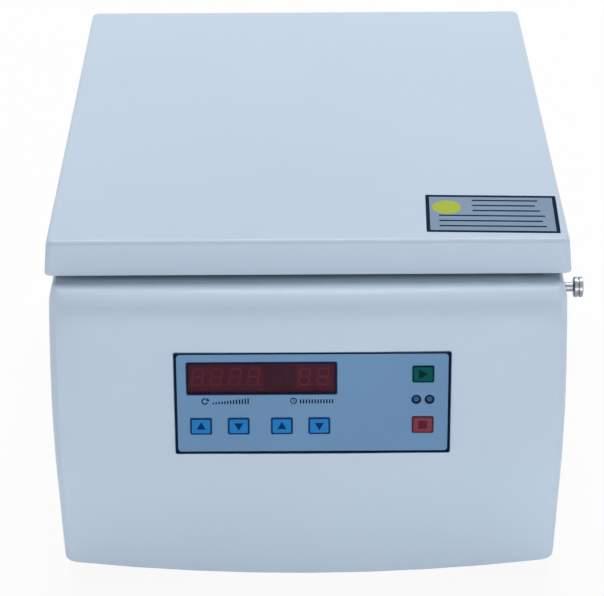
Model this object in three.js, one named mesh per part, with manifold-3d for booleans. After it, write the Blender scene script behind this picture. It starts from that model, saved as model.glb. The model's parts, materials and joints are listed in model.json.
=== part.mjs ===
// Benchtop centrifuge with a hinged lid, in millimetres, +Z up.
// The machine's own frame has x = 0 on its centre plane, y = 0 at the lid's front fold with +Y to the
// rear, and z = 0 on the bench. The outer group moves the machine so that its origin is under the centre
// of its bounding box. The tubes set the rotor's size. Motor, bowl and electronics set the casing's, and
// the casing sets the lid's.
import * as THREE from 'three';
import { mergeVertices } from 'three/addons/utils/BufferGeometryUtils.js';
import Module from 'manifold-3d';

const wasm = await Module();
wasm.setup();

// Clearances, overruns, and the numbers of sides on round work
const seatGap = 0.3;
const cutOverrun = 4;
const weldTolerance = 0.0001;
const mouldedCorner = 0.3;
const bowlSides = 40;
const roundSides = 24;
const smallSides = 16;
const pegSides = 12;
const pinSides = 8;

// Base
const bodyBottom = 13;
const panThickness = 1.5;
const panLip = 12;
const footRadius = 17;
const footToeRadius = 14.5;
const footInsetX = 38;
const footFrontY = -8;
const footRearInset = 35;
const panBottom = bodyBottom + seatGap;
const panFloor = panBottom + panThickness;

// Motor on its damped plate
const motorRadius = 58;
const motorHeight = 50;
const motorFlangeRadius = 72;
const motorFlangeThickness = 4;
const motorBossRadius = 22;
const motorBossHeight = 4;
const motorBearingFloor = 6;
const mountPlateWidth = 190;
const mountPlateCorner = 18;
const mountPlateThickness = 4;
const mountPlateHole = 40;
const damperHeight = 20;
const damperRadius = 13;
const damperWaist = 10;
const damperInset = 18;
const mountPlateBottom = panFloor + seatGap + damperHeight + seatGap;
const motorBase = mountPlateBottom + mountPlateThickness + seatGap;
const motorTop = motorBase + motorHeight + motorBossHeight;

// Chamber
const bowlRadius = 141.2;
const bowlWall = 1.5;
const bowlDepth = 125.5;
const bowlCornerRadius = 16;
const bowlFlangeReach = 8.8;
const bowlFlangeThickness = 1.2;
const bowlHubRadius = 20;
const bowlHubHeight = 6;
const bowlMotorGap = 3.3;
const sealWidth = 7.5;
const sealLipInset = 2.2;
const bowlOuter = bowlRadius + bowlWall;
const bowlFlangeRadius = bowlRadius + bowlFlangeReach;
const bowlFloor = motorTop + bowlMotorGap;

// Rotor round its tube pockets, and the shaft
const pocketCount = 6;
const pocketRadius = 15;
const pocketTilt = THREE.MathUtils.degToRad(25);
const pocketMouthRadius = 61;
const pocketDepth = 72;
const pocketFloor = 5.75;
const rotorWall = 5.9;
const rotorTaper = 9;
const rotorBandHeight = 18;
const rotorEdge = 6;
const rotorRim = 9;
const rotorHubRadius = 27;
const rotorHubDrop = 22;
const rotorUndercutInset = 9;
const rotorUndercutDepth = 29;
const rotorFloorGap = 8;
const shaftRadius = 7;
const shaftCollarRadius = 12;
const shaftCollarThickness = 3.7;
const shaftRise = 14;
const nutRadius = 14;
const nutSides = 6;
const nutHeight = 11;
const nutCapRadius = 10;
const nutCapTopRadius = 8;
const nutCapHeight = 8;
const pocketBallDepth = pocketDepth - pocketRadius;
const rotorRadius = pocketMouthRadius + pocketBallDepth * Math.sin(pocketTilt) + pocketRadius + rotorWall;
const rotorTopRadius = rotorRadius - rotorTaper;
const rotorDishRadius = rotorTopRadius - rotorRim;
const rotorUndercutRadius = pocketMouthRadius - rotorUndercutInset;
const pocketReach = pocketBallDepth * Math.cos(pocketTilt) + pocketRadius;
const mouthDrop = (rotorDishRadius - pocketMouthRadius) * Math.tan(pocketTilt);
const rotorBottom = bowlFloor + rotorFloorGap;
const rotorTop = rotorBottom + pocketFloor + pocketReach + mouthDrop;
const rotorHubTop = rotorTop - rotorHubDrop;
const shaftTop = rotorHubTop + shaftRise;

// Electronics on the base pan
const boardThickness = 1.6;
const driveBoardInset = 67.8;
const driveBoardWidth = 120;
const driveBoardDepth = 84;
const driveBoardFrontGap = 8;
const driveBoardRearGap = 13;
const drivePostHeight = 8;
const drivePostRadius = 3;
const drivePostInset = 6;
const heatSinkWidth = 70;
const heatSinkDepth = 30;
const heatSinkHeight = 32;
const heatSinkFin = 2.4;
const heatSinkPitch = 6.6;
const heatSinkBase = 5;
const capacitorRadius = 11;
const capacitorHeight = 34;
const capacitorPitch = 26;
const transformerInset = 60.8;
const transformerRearGap = 3.6;
const transformerWidth = 66;
const transformerDepth = 40;
const transformerHeight = 56;
const transformerLimb = 11;
const transformerCoilDepth = 56;

// Casing round the bowl, the motor's plate and the drive board
const deckFrontMargin = 50;
const deckSideMargin = 22.8;
const deckRoll = 10;
const sideRollShare = 0.5;
const bodyWall = 3;
const bodyCornerRadius = 11;
const sideCrown = 1.3;
const sideCrownDrop = 77.5;
const sideCrownSpan = 90;
const deckHeight = bowlFloor + bowlDepth;
const deckUnderside = deckHeight - bodyWall;
const rollStart = deckHeight - deckRoll;
const bodyHalf = bowlFlangeRadius + deckSideMargin;
const chamberCentreY = bowlFlangeRadius + deckFrontMargin;
const driveBoardFront = chamberCentreY + mountPlateWidth / 2 + driveBoardFrontGap;
const bodyRear = driveBoardFront + driveBoardDepth + driveBoardRearGap;

// Front: lower arc, belly arc, tilted flat that carries the panel, and brow arc under the deck roll
const bellyReach = 50.4;
const lowerFrontRadius = 1875;
const bellyBlend = 22;
const flatHeight = 85;
const flatTilt = THREE.MathUtils.degToRad(10);
const browHeight = 17.5;
const browRadius = 75;
const bowTop = 2.5;
const bowBottom = 13.75;
const bowPower = 2.8;
const lowerFrontShares = [0.36, 0.68];
const bellyShares = [0.41, 0.73];
const flatShares = [0.33, 0.66];
const browShares = [0.34, 0.69];
const flatHigh = rollStart - browHeight;
const flatLow = flatHigh - flatHeight;
const bellyHeight = flatLow - bellyBlend;

// Lid over the casing
const lidOverhang = 2.2;
const lidGap = 3.1;
const lidLip = 24.4;
const lidEdgeRadius = 3.5;
const lidCornerRadius = 5;
const lidDraft = 1.9;
const lidWall = 3;
const lidRoof = 3.5;
const lidBossRadius = 4;
const lidBossInset = 25;
const lidBossDepthShares = [0.06, 0.5, 0.94];
const lidHalf = bodyHalf + lidOverhang;
const lidDepth = bodyRear;
const lidBottom = deckHeight + lidGap;
const lidTop = lidBottom + lidLip;

// Lid liner
const linerThickness = 1.5;
const linerDrop = 18;
const linerDishInset = 9.2;
const linerDishDrop = 5;
const linerDishSlope = 4;
const linerDishRadius = bowlRadius - linerDishInset;
const linerBottom = lidTop - linerDrop;

// Control panel on the tilted flat
const panelWidth = 185.5;
const panelHeight = 73.1;
const panelCentreX = 2.6;
const panelDrop = 46.4;
const panelCornerRadius = 1.2;
const panelRecess = 1.6;
const panelWindowMargin = 2.3;
const overlayThickness = 1.2;
const overlayFace = -0.1;
const boardSideMargin = 0.75;
const boardEndMargin = 0.55;
const boardDepth = 10;
const boardBossRadius = 3;
const boardBossInset = 3.2;
const panelCentreZ = flatHigh - panelDrop;
const boardWidth = panelWidth - 2 * boardSideMargin;
const boardHeight = panelHeight - 2 * boardEndMargin;

// Display: a pane, and digit modules behind it
const displayWidth = 100.7;
const displayHeight = 23.1;
const displaySideInset = 8.4;
const displayTopInset = 6.8;
const paneThickness = 1.1;
const speedDigits = 4;
const timeDigits = 2;
const digitPitch = 12.6;
const moduleHeight = 19;
const moduleTopDepth = 1.9;
const speedModuleInset = 1.55;
const timeModuleInset = 2.35;
const displayX = (displayWidth - panelWidth) / 2 + displaySideInset;
const displayY = (panelHeight - displayHeight) / 2 - displayTopInset;
const speedModuleX = displayX - displayWidth / 2 + speedModuleInset + speedDigits * digitPitch / 2;
const timeModuleX = displayX + displayWidth / 2 - timeModuleInset - timeDigits * digitPitch / 2;

// Keys and lamps, from the panel's edges
const keyWidth = 14.2;
const keyHeight = 11.7;
const keyCornerRadius = 1.2;
const keyProud = 0.35;
const keyThickness = 1.8;
const keyTravel = 0.5;
const keySwitchBase = 6;
const keySwitchBaseHeight = 4;
const keyStemRadius = 1.75;
const keyRowInset = 20.35;
const speedUpInset = 17.65;
const speedKeyPitch = 25.3;
const timeUpInset = 72.05;
const timeKeyPitch = 25.2;
const commandInset = 18.65;
const startInset = 15.75;
const stopInset = 20.75;
const lampPitch = 8.9;
const lampRadius = 2.5;
const lampDomeHeight = 1.75;
const keyRowY = keyRowInset - panelHeight / 2;
const speedUpX = speedUpInset - panelWidth / 2;
const timeUpX = timeUpInset - panelWidth / 2;
const commandX = panelWidth / 2 - commandInset;
const startY = panelHeight / 2 - startInset;
const stopY = stopInset - panelHeight / 2;
const lampY = (startY + stopY) / 2;

// Bolt lock on the right side
const boltY = 16;
const boltDrop = 17.7;
const boltRadius = 3.2;
const boltTipChamfer = 0.8;
const boltCollarRadius = 5.2;
const boltCollarThickness = 2;
const knobGap = 7.9;
const knobRadius = 7;
const knobThickness = 6.4;
const knobChamfer = 0.8;
const knobWaistRadius = 5.9;
const strikeInset = 25;
const strikeThickness = 3;
const strikeWidth = 16;
const strikeReach = 9;
const strikeSlotGap = 1.5;
const strikeHoleGap = 0.6;
const strikeFootLength = 14;
const strikeFootThickness = 2;
const bracketEar = 3;
const bracketStandOff = 4;
const bracketLength = 8;
const bracketReach = 7;
const bracketWidth = 22;
const lidSwitchLength = 20;
const lidSwitchWidth = 6.4;
const lidSwitchHeight = 10;
const boltZ = deckHeight - boltDrop;
const knobStandOff = bodyHalf + knobGap;
const knobEnd = knobStandOff + knobThickness;
const strikeX = lidHalf - strikeInset;

// Hinges
const hingeInset = 57.8;
const hingeWidth = 50;
const hingeKnuckleLength = 15;
const hingeKnuckleRadius = 4;
const hingePinRadius = 2;
const hingeAxisRise = 1.3;
const hingeLeafThickness = 2;
const hingeLeafGap = 0.5;
const hingeBodyLeafHeight = 20;
const hingeLidLeafHeight = 18;
const pinHeadRadius = 3.2;
const pinHeadThickness = 1.5;
const hingeX = bodyHalf - hingeInset;
const hingeAxisY = bodyRear + hingeLeafGap + hingeKnuckleRadius;
const hingeAxisZ = deckHeight + hingeAxisRise;
const rearMost = hingeAxisY + hingeKnuckleRadius;

// Rear panel with its vents
const rearPanelSideInset = 14.8;
const rearPanelBottomInset = 14;
const rearPanelTopInset = 29.5;
const rearPanelThickness = 1.5;
const rearPanelLap = 8;
const rearPanelCorner = 5;
const ventSlotWidth = 60;
const ventSlotHeight = 4;
const ventPitch = 9;
const ventTopInset = 25;
const ventSideInset = 50;
const rearPanelHalf = bodyHalf - rearPanelSideInset;
const rearPanelLow = bodyBottom + rearPanelBottomInset;
const rearPanelHigh = deckHeight - rearPanelTopInset;
const rearPanelInner = bodyRear + seatGap;
const rearPanelOuter = rearPanelInner + rearPanelThickness;

// Mains inlet with its fuse drawer
const inletSideInset = 46;
const inletRise = 35;
const inletWidth = 28;
const inletHeight = 45;
const inletDepth = 28;
const inletFlange = 4;
const inletFlangeThickness = 2.5;
const socketWidth = 24.5;
const socketHeight = 16.5;
const socketDepth = 18;
const socketDrop = 9.2;
const socketCorner = 2;
const inletPinWidth = 4;
const inletPinThickness = 2;
const inletPinLength = 12;
const inletPinPitch = 7;
const inletEarthRise = 4;
const drawerWidth = 22;
const drawerHeight = 9;
const drawerDepth = 15;
const drawerRise = 13;
const drawerFaceMargin = 1;
const drawerFaceThickness = 1.6;
const inletX = inletSideInset - rearPanelHalf;
const inletZ = rearPanelLow + inletRise;
const inletFace = rearPanelOuter + seatGap + inletFlangeThickness;
const ventX = rearPanelHalf - ventSideInset - ventSlotWidth / 2;
const ventTop = rearPanelHigh - ventTopInset;
const ventRows = Math.floor((ventTop - inletZ - inletHeight / 2) / ventPitch);

// Mains switch
const switchPitch = 54;
const switchWidth = 22;
const switchHeight = 28;
const switchFlange = 2.5;
const switchFlangeThickness = 2;
const switchDepth = 20;
const switchWall = 1.8;
const rockerThrow = THREE.MathUtils.degToRad(16);
const rockerFaceRise = 3.4;
const rockerPivotDepth = 5;
const rockerSkirtDepth = 7;
const rockerSideGap = 0.5;
const rockerEndGap = 1.3;
const switchX = inletX + switchPitch;
const switchZ = inletZ;
const switchFace = rearPanelOuter + seatGap + switchFlangeThickness;

// Places of the electronics
const driveBoardX = bodyHalf - driveBoardInset;
const driveBoardY = driveBoardFront + driveBoardDepth / 2;
const transformerX = transformerInset - bodyHalf;
const transformerY = inletFace - inletDepth - transformerRearGap - transformerCoilDepth / 2;

// Shape helpers

function toSolid(geometry) {
  const bare = geometry.clone();
  bare.deleteAttribute('normal');
  bare.deleteAttribute('uv');
  const merged = mergeVertices(bare, weldTolerance);
  const corners = merged.index.array;
  const kept = [];
  for (let i = 0; i < corners.length; i += 3) {
    const [a, b, c] = [corners[i], corners[i + 1], corners[i + 2]];
    if (a !== b && b !== c && c !== a) {
      kept.push(a, b, c);
    }
  }
  return new wasm.Manifold(new wasm.Mesh({
    numProp: 3,
    vertProperties: new Float32Array(merged.attributes.position.array),
    triVerts: new Uint32Array(kept),
  }));
}

function toGeometry(solid) {
  const mesh = solid.getMesh();
  const geometry = new THREE.BufferGeometry();
  geometry.setAttribute('position', new THREE.BufferAttribute(new Float32Array(mesh.vertProperties), 3));
  geometry.setIndex(new THREE.BufferAttribute(new Uint32Array(mesh.triVerts), 1));
  geometry.computeVertexNormals();
  return geometry;
}

function join(first, ...others) {
  return others.reduce((whole, other) => whole.add(other), first);
}

function cut(first, ...others) {
  return others.reduce((rest, other) => rest.subtract(other), first);
}

// Box between two corners
function box([x0, y0, z0], [x1, y1, z1]) {
  const geometry = new THREE.BoxGeometry(x1 - x0, y1 - y0, z1 - z0);
  return toSolid(geometry.translate((x0 + x1) / 2, (y0 + y1) / 2, (z0 + z1) / 2));
}

// Upright round bar between two heights
function roundBar(radius, z0, z1, x = 0, y = 0, topRadius = radius, sides = roundSides) {
  const geometry = new THREE.CylinderGeometry(topRadius, radius, z1 - z0, sides);
  geometry.rotateX(Math.PI / 2);
  return toSolid(geometry.translate(x, y, (z0 + z1) / 2));
}

// Round bar along X between two places
function barAlongX(radius, x0, x1, y, z, sides = smallSides) {
  const geometry = new THREE.CylinderGeometry(radius, radius, x1 - x0, sides);
  geometry.rotateZ(Math.PI / 2);
  return toSolid(geometry.translate((x0 + x1) / 2, y, z));
}

// Body turned about Z from a closed profile of [radius, height] points
function turned(profile, sides) {
  const points = profile.map(([radius, height]) => new THREE.Vector2(radius, height));
  const first = points[0];
  const last = points[points.length - 1];
  if (first.x !== 0 || last.x !== 0) {
    points.push(first.clone());
  }
  const geometry = new THREE.LatheGeometry(points, sides);
  geometry.rotateX(Math.PI / 2);
  return toSolid(geometry);
}

function roundedRectangle(width, height, radius, x = 0, y = 0) {
  const shape = new THREE.Shape();
  const left = x - width / 2;
  const right = x + width / 2;
  const low = y - height / 2;
  const high = y + height / 2;
  shape.moveTo(left + radius, low);
  shape.lineTo(right - radius, low);
  shape.absarc(right - radius, low + radius, radius, -Math.PI / 2, 0);
  shape.lineTo(right, high - radius);
  shape.absarc(right - radius, high - radius, radius, 0, Math.PI / 2);
  shape.lineTo(left + radius, high);
  shape.absarc(left + radius, high - radius, radius, Math.PI / 2, Math.PI);
  shape.lineTo(left, low + radius);
  shape.absarc(left + radius, low + radius, radius, Math.PI, 3 * Math.PI / 2);
  return shape;
}

function roundHole(x, y, radius, sides) {
  const points = Array.from({ length: sides }, (_, i) => {
    const angle = 2 * Math.PI * i / sides;
    return new THREE.Vector2(x + radius * Math.cos(angle), y + radius * Math.sin(angle));
  });
  return new THREE.Path(points);
}

// Plate with its outline in local X and Y, between two local heights
function plate(shape, z0, z1, curveSegments = 4) {
  const geometry = new THREE.ExtrudeGeometry(shape, { depth: z1 - z0, bevelEnabled: false, curveSegments });
  return toSolid(geometry.translate(0, 0, z0));
}

// Closed body through a stack of rings with equal point counts, each ring running anticlockwise from above
function loft(rings) {
  const count = rings[0].length;
  const positions = rings.flat(2);
  const index = [];
  for (let level = 0; level + 1 < rings.length; level += 1) {
    for (let i = 0; i < count; i += 1) {
      const a = level * count + i;
      const b = level * count + (i + 1) % count;
      index.push(a, b, b + count, a, b + count, a + count);
    }
  }
  const top = (rings.length - 1) * count;
  for (let i = 1; i + 1 < count; i += 1) {
    index.push(0, i + 1, i);
    index.push(top, top + i, top + i + 1);
  }
  const geometry = new THREE.BufferGeometry();
  geometry.setAttribute('position', new THREE.BufferAttribute(new Float32Array(positions), 3));
  geometry.setIndex(index);
  return toSolid(geometry);
}

// Outlines

// Horizontal ring: a rounded rectangle whose front edge bows forward by bow at its middle
function ring({ half, front, rear, radius, bow, z }, frontSteps = 8, cornerSteps = 3) {
  const flatHalf = half - radius;
  const slope = Math.atan(2 * bow / flatHalf);
  const edge = flatHalf + radius * Math.sin(slope);
  const curve = (x) => front + bow * (x / flatHalf) ** 2;
  const cornerY = curve(edge) + radius * Math.cos(slope);
  const points = [];
  for (let i = 0; i <= frontSteps; i += 1) {
    const x = edge * (2 * i / frontSteps - 1);
    points.push([x, curve(x), z]);
  }
  const sweep = Math.PI / 2 - slope;
  for (let i = 1; i <= cornerSteps; i += 1) {
    const angle = -sweep * (1 - i / cornerSteps);
    points.push([flatHalf + radius * Math.cos(angle), cornerY + radius * Math.sin(angle), z]);
  }
  for (let i = 0; i <= cornerSteps; i += 1) {
    const angle = Math.PI / 2 * i / cornerSteps;
    points.push([flatHalf + radius * Math.cos(angle), rear - radius + radius * Math.sin(angle), z]);
  }
  for (let i = 0; i <= cornerSteps; i += 1) {
    const angle = Math.PI / 2 * (1 + i / cornerSteps);
    points.push([-flatHalf + radius * Math.cos(angle), rear - radius + radius * Math.sin(angle), z]);
  }
  for (let i = 0; i < cornerSteps; i += 1) {
    const angle = Math.PI + sweep * i / cornerSteps;
    points.push([-flatHalf + radius * Math.cos(angle), cornerY + radius * Math.sin(angle), z]);
  }
  return points;
}

// How far the front's centre line stands ahead of the lid's fold
function frontReach(z) {
  if (z <= bellyHeight) {
    return bellyReach - lowerFrontRadius + Math.sqrt(lowerFrontRadius ** 2 - (bellyHeight - z) ** 2);
  }
  const bellyRadius = (flatLow - bellyHeight) / Math.sin(flatTilt);
  if (z <= flatLow) {
    return bellyReach - bellyRadius + Math.sqrt(bellyRadius ** 2 - (z - bellyHeight) ** 2);
  }
  const reachLow = bellyReach - bellyRadius * (1 - Math.cos(flatTilt));
  if (z <= flatHigh) {
    return reachLow - (z - flatLow) * Math.tan(flatTilt);
  }
  const reachHigh = reachLow - (flatHigh - flatLow) * Math.tan(flatTilt);
  const slope = Math.asin(Math.sin(flatTilt) + (z - flatHigh) / browRadius);
  return reachHigh - browRadius * (Math.cos(flatTilt) - Math.cos(slope));
}

function frontBow(z) {
  const share = Math.max(0, (rollStart - z) / (rollStart - bodyBottom));
  return bowTop + (bowBottom - bowTop) * share ** bowPower;
}

function sideHalf(z) {
  const share = Math.min(1, Math.abs(deckHeight - sideCrownDrop - z) / sideCrownSpan);
  return bodyHalf + sideCrown * Math.cos(Math.PI / 2 * share) ** 2;
}

// Ring of the casing at a height below the deck roll, drawn in by an offset
function casingRing(z, offset, atHeight = z) {
  return ring({
    half: sideHalf(z) - offset,
    front: offset - frontReach(z),
    rear: bodyRear - offset,
    radius: bodyCornerRadius - offset,
    bow: frontBow(z),
    z: atHeight,
  });
}

// Rings of the deck roll, from the top of the walls to the flat deck, tighter on the sides than in front
function rollRings(offset, steps) {
  const radius = deckRoll - offset;
  const browSlope = Math.sin(flatTilt) + (rollStart - flatHigh) / browRadius;
  const rings = [];
  for (let i = 1; i <= steps; i += 1) {
    const angle = Math.PI / 2 * i / steps;
    const inset = radius * (1 - Math.cos(angle));
    const rise = radius * Math.sin(angle);
    rings.push(ring({
      half: sideHalf(rollStart) - offset - inset * sideRollShare,
      front: offset - frontReach(rollStart) + inset + rise * Math.tan(Math.asin(browSlope)),
      rear: bodyRear - offset - inset,
      radius: Math.max(bodyCornerRadius - offset - inset, mouldedCorner),
      bow: frontBow(rollStart),
      z: rollStart + rise,
    }));
  }
  return rings;
}

// Panel frame: local X across, local Y up the slope, local Z out of the front
const panelTurn = Math.PI / 2 - flatTilt;
const panelOrigin = new THREE.Vector3(panelCentreX, -frontReach(panelCentreZ), panelCentreZ);

// A panel solid put where the casing's front is, to cut or join it
function onFront(solid) {
  const place = new THREE.Matrix4().makeRotationX(panelTurn).setPosition(panelOrigin);
  return toSolid(toGeometry(solid).applyMatrix4(place));
}

const keys = [
  { name: 'key_speed_up', x: speedUpX, y: keyRowY },
  { name: 'key_speed_down', x: speedUpX + speedKeyPitch, y: keyRowY },
  { name: 'key_time_up', x: timeUpX, y: keyRowY },
  { name: 'key_time_down', x: timeUpX + timeKeyPitch, y: keyRowY },
  { name: 'key_start', x: commandX, y: startY },
  { name: 'key_stop', x: commandX, y: stopY },
];
const lamps = [
  { name: 'led_run', x: commandX - lampPitch / 2, y: lampY },
  { name: 'led_stop', x: commandX + lampPitch / 2, y: lampY },
];

// Casing

function boardBosses() {
  const solids = [];
  for (const sx of [-1, 1]) {
    for (const sy of [-1, 1]) {
      const x = sx * (boardWidth / 2 - boardBossInset);
      const y = sy * (boardHeight / 2 - boardBossInset);
      solids.push(onFront(roundBar(boardBossRadius, seatGap - boardDepth, -(panelRecess + bodyWall) / 2, x, y,
        boardBossRadius, pegSides)));
    }
  }
  return solids;
}

function panelCuts() {
  const recess = roundedRectangle(panelWidth + 2 * seatGap, panelHeight + 2 * seatGap, panelCornerRadius);
  const windowLow = keyRowY - keyHeight / 2 - panelWindowMargin;
  const windowHigh = displayY + displayHeight / 2 + panelWindowMargin;
  const window = roundedRectangle(boardWidth - 4 * boardBossInset, windowHigh - windowLow, boardBossRadius,
    0, (windowLow + windowHigh) / 2);
  return [
    onFront(plate(recess, -panelRecess, cutOverrun)),
    onFront(plate(window, -bodyWall - cutOverrun, cutOverrun)),
  ];
}

function strikeSlot() {
  const halfX = strikeThickness / 2 + strikeSlotGap;
  const halfY = strikeWidth / 2 + strikeSlotGap;
  return box(
    [strikeX - halfX, boltY - halfY, deckUnderside - cutOverrun],
    [strikeX + halfX, boltY + halfY, deckHeight + cutOverrun],
  );
}

function rearOpening() {
  const half = rearPanelHalf - rearPanelLap;
  return box(
    [-half, bodyRear - bodyWall - cutOverrun, rearPanelLow + rearPanelLap],
    [half, bodyRear + cutOverrun, rearPanelHigh - rearPanelLap],
  );
}

// Heights on the way from a low one to a high one, at shares of the way up
function between(low, high, shares) {
  return shares.map((share) => low + (high - low) * share);
}

function housingShell() {
  const bends = [bellyHeight, flatLow, flatHigh, rollStart];
  const heights = [
    bodyBottom,
    ...between(bodyBottom, bellyHeight, lowerFrontShares),
    bellyHeight,
    ...between(bellyHeight, flatLow, bellyShares),
    flatLow,
    ...between(flatLow, flatHigh, flatShares),
    flatHigh,
    ...between(flatHigh, rollStart, browShares),
    rollStart,
  ];
  const outer = loft([...heights.map((z) => casingRing(z, 0)), ...rollRings(0, 6)]);
  const inner = loft([
    casingRing(bodyBottom, bodyWall, bodyBottom - cutOverrun),
    ...bends.map((z) => casingRing(z, bodyWall)),
    ...rollRings(bodyWall, 3),
  ]);
  const mouth = roundBar(bowlOuter + seatGap, deckUnderside - cutOverrun, deckHeight + cutOverrun,
    0, chamberCentreY, bowlOuter + seatGap, bowlSides);
  const boltHole = barAlongX(boltRadius + seatGap, strikeX, bodyHalf + cutOverrun, boltY, boltZ);
  const shell = cut(outer, inner, mouth, boltHole, strikeSlot(), rearOpening(), ...panelCuts());
  return join(shell, ...boardBosses());
}

function basePan() {
  const outerOffset = bodyWall + seatGap;
  const innerOffset = outerOffset + panThickness;
  const outer = loft([panBottom, panBottom + panLip].map((z) => casingRing(bodyBottom, outerOffset, z)));
  const hollow = [panFloor, panBottom + panLip + cutOverrun];
  return cut(outer, loft(hollow.map((z) => casingRing(bodyBottom, innerOffset, z))));
}

function foot() {
  return turned([[0, 0], [footToeRadius, 0], [footRadius, bodyBottom], [0, bodyBottom]], smallSides);
}

// Chamber

function chamberBowl() {
  const flangeLow = deckHeight + seatGap;
  const flangeHigh = flangeLow + bowlFlangeThickness;
  const cornerY = bowlFloor + bowlWall + bowlCornerRadius;
  const cornerX = bowlRadius - bowlCornerRadius;
  const arc = (radius, from, to) => {
    const steps = 3;
    const points = [];
    for (let i = 0; i <= steps; i += 1) {
      const angle = from + (to - from) * i / steps;
      points.push([cornerX + radius * Math.cos(angle), cornerY + radius * Math.sin(angle)]);
    }
    return points;
  };
  return turned([
    [bowlHubRadius, bowlFloor],
    ...arc(bowlCornerRadius + bowlWall, -Math.PI / 2, 0),
    [bowlOuter, flangeLow],
    [bowlFlangeRadius, flangeLow],
    [bowlFlangeRadius, flangeHigh],
    [bowlRadius, flangeHigh],
    ...arc(bowlCornerRadius, 0, -Math.PI / 2),
    [bowlHubRadius + bowlWall, bowlFloor + bowlWall],
    [bowlHubRadius + bowlWall, bowlFloor + bowlHubHeight],
    [bowlHubRadius, bowlFloor + bowlHubHeight],
  ], bowlSides);
}

function chamberSeal() {
  const low = deckHeight + seatGap + bowlFlangeThickness + seatGap;
  const high = linerBottom - seatGap;
  const outer = bowlFlangeRadius;
  const inner = bowlFlangeRadius - sealWidth;
  const shoulder = (low + high) / 2;
  return turned([
    [inner, low],
    [outer, low],
    [outer, shoulder],
    [outer - sealLipInset, high],
    [inner + sealLipInset, high],
    [inner, shoulder],
  ], bowlSides);
}

// Rotor and drive

// Height of the rotor's dished top at a radius; it lies square to the pockets
function dishHeight(radius) {
  return rotorTop - (rotorDishRadius - radius) * Math.tan(pocketTilt);
}

function rotorPocket(turn) {
  const steps = 3;
  const profile = [];
  for (let i = 0; i <= steps; i += 1) {
    const angle = Math.PI / 2 * i / steps;
    profile.push([pocketRadius * Math.sin(angle), -pocketBallDepth - pocketRadius * Math.cos(angle)]);
  }
  profile.push([pocketRadius, cutOverrun], [0, cutOverrun]);
  const geometry = toGeometry(turned(profile, smallSides));
  geometry.rotateY(-pocketTilt);
  geometry.translate(pocketMouthRadius, 0, dishHeight(pocketMouthRadius));
  geometry.rotateZ(turn);
  return toSolid(geometry);
}

function rotorHead() {
  const bore = shaftRadius + seatGap;
  const hubFoot = rotorHubRadius - rotorEdge;
  const body = turned([
    [bore, rotorBottom],
    [hubFoot, rotorBottom],
    [rotorHubRadius, rotorBottom + rotorUndercutDepth],
    [rotorUndercutRadius, rotorBottom + rotorUndercutDepth],
    [rotorUndercutRadius + rotorEdge, rotorBottom],
    [rotorRadius - rotorEdge, rotorBottom],
    [rotorRadius, rotorBottom + rotorEdge],
    [rotorRadius, rotorBottom + rotorEdge + rotorBandHeight],
    [rotorTopRadius, rotorTop],
    [rotorDishRadius, rotorTop],
    [rotorHubRadius, dishHeight(rotorHubRadius)],
    [rotorHubRadius, rotorHubTop],
    [bore, rotorHubTop],
  ], bowlSides);
  const pockets = Array.from({ length: pocketCount }, (_, i) => rotorPocket(2 * Math.PI * i / pocketCount));
  return cut(body, ...pockets);
}

function rotorNut() {
  const low = rotorHubTop + seatGap;
  const hex = roundBar(nutRadius, low, low + nutHeight, 0, 0, nutRadius, nutSides);
  const cap = roundBar(nutCapRadius, low + nutHeight / 2, low + nutHeight + nutCapHeight, 0, 0,
    nutCapTopRadius, smallSides);
  const bore = roundBar(shaftRadius + seatGap, low - cutOverrun, shaftTop + seatGap, 0, 0,
    shaftRadius + seatGap, smallSides);
  return cut(join(hex, cap), bore);
}

function motorShaft() {
  const low = motorBase + motorBearingFloor + seatGap;
  const collarTop = rotorBottom - seatGap;
  return turned([
    [0, low],
    [shaftRadius, low],
    [shaftRadius, collarTop - shaftCollarThickness],
    [shaftCollarRadius, collarTop - shaftCollarThickness],
    [shaftCollarRadius, collarTop],
    [shaftRadius, collarTop],
    [shaftRadius, shaftTop],
    [0, shaftTop],
  ], smallSides);
}

function motorHousing() {
  const flangeTop = motorBase + motorFlangeThickness;
  const bore = shaftRadius + seatGap;
  return turned([
    [0, motorBase],
    [motorFlangeRadius, motorBase],
    [motorFlangeRadius, flangeTop],
    [motorRadius, flangeTop],
    [motorRadius, motorBase + motorHeight],
    [motorBossRadius, motorBase + motorHeight],
    [motorBossRadius, motorTop],
    [bore, motorTop],
    [bore, motorBase + motorBearingFloor],
    [0, motorBase + motorBearingFloor],
  ], roundSides);
}

function mountPlate() {
  const outline = roundedRectangle(mountPlateWidth, mountPlateWidth, mountPlateCorner);
  outline.holes.push(roundHole(0, 0, mountPlateHole, roundSides));
  return plate(outline, mountPlateBottom, mountPlateBottom + mountPlateThickness);
}

function mountDamper() {
  const low = panFloor + seatGap;
  const high = low + damperHeight;
  const collar = damperHeight / 4;
  return turned([
    [0, low],
    [damperRadius, low],
    [damperRadius, low + collar],
    [damperWaist, low + 2 * collar],
    [damperRadius, high - collar],
    [damperRadius, high],
    [0, high],
  ], pegSides);
}

// Control panel, in the panel's own frame

function panelOverlay() {
  const outline = roundedRectangle(panelWidth, panelHeight, panelCornerRadius);
  outline.holes.push(roundedRectangle(displayWidth, displayHeight, panelCornerRadius, displayX, displayY));
  const keyHoleWidth = keyWidth + 2 * seatGap;
  const keyHoleHeight = keyHeight + 2 * seatGap;
  for (const { x, y } of keys) {
    outline.holes.push(roundedRectangle(keyHoleWidth, keyHoleHeight, keyCornerRadius, x, y));
  }
  for (const { x, y } of lamps) {
    outline.holes.push(roundHole(x, y, lampRadius + seatGap, smallSides));
  }
  return plate(outline, overlayFace - overlayThickness, overlayFace, 2);
}

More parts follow.
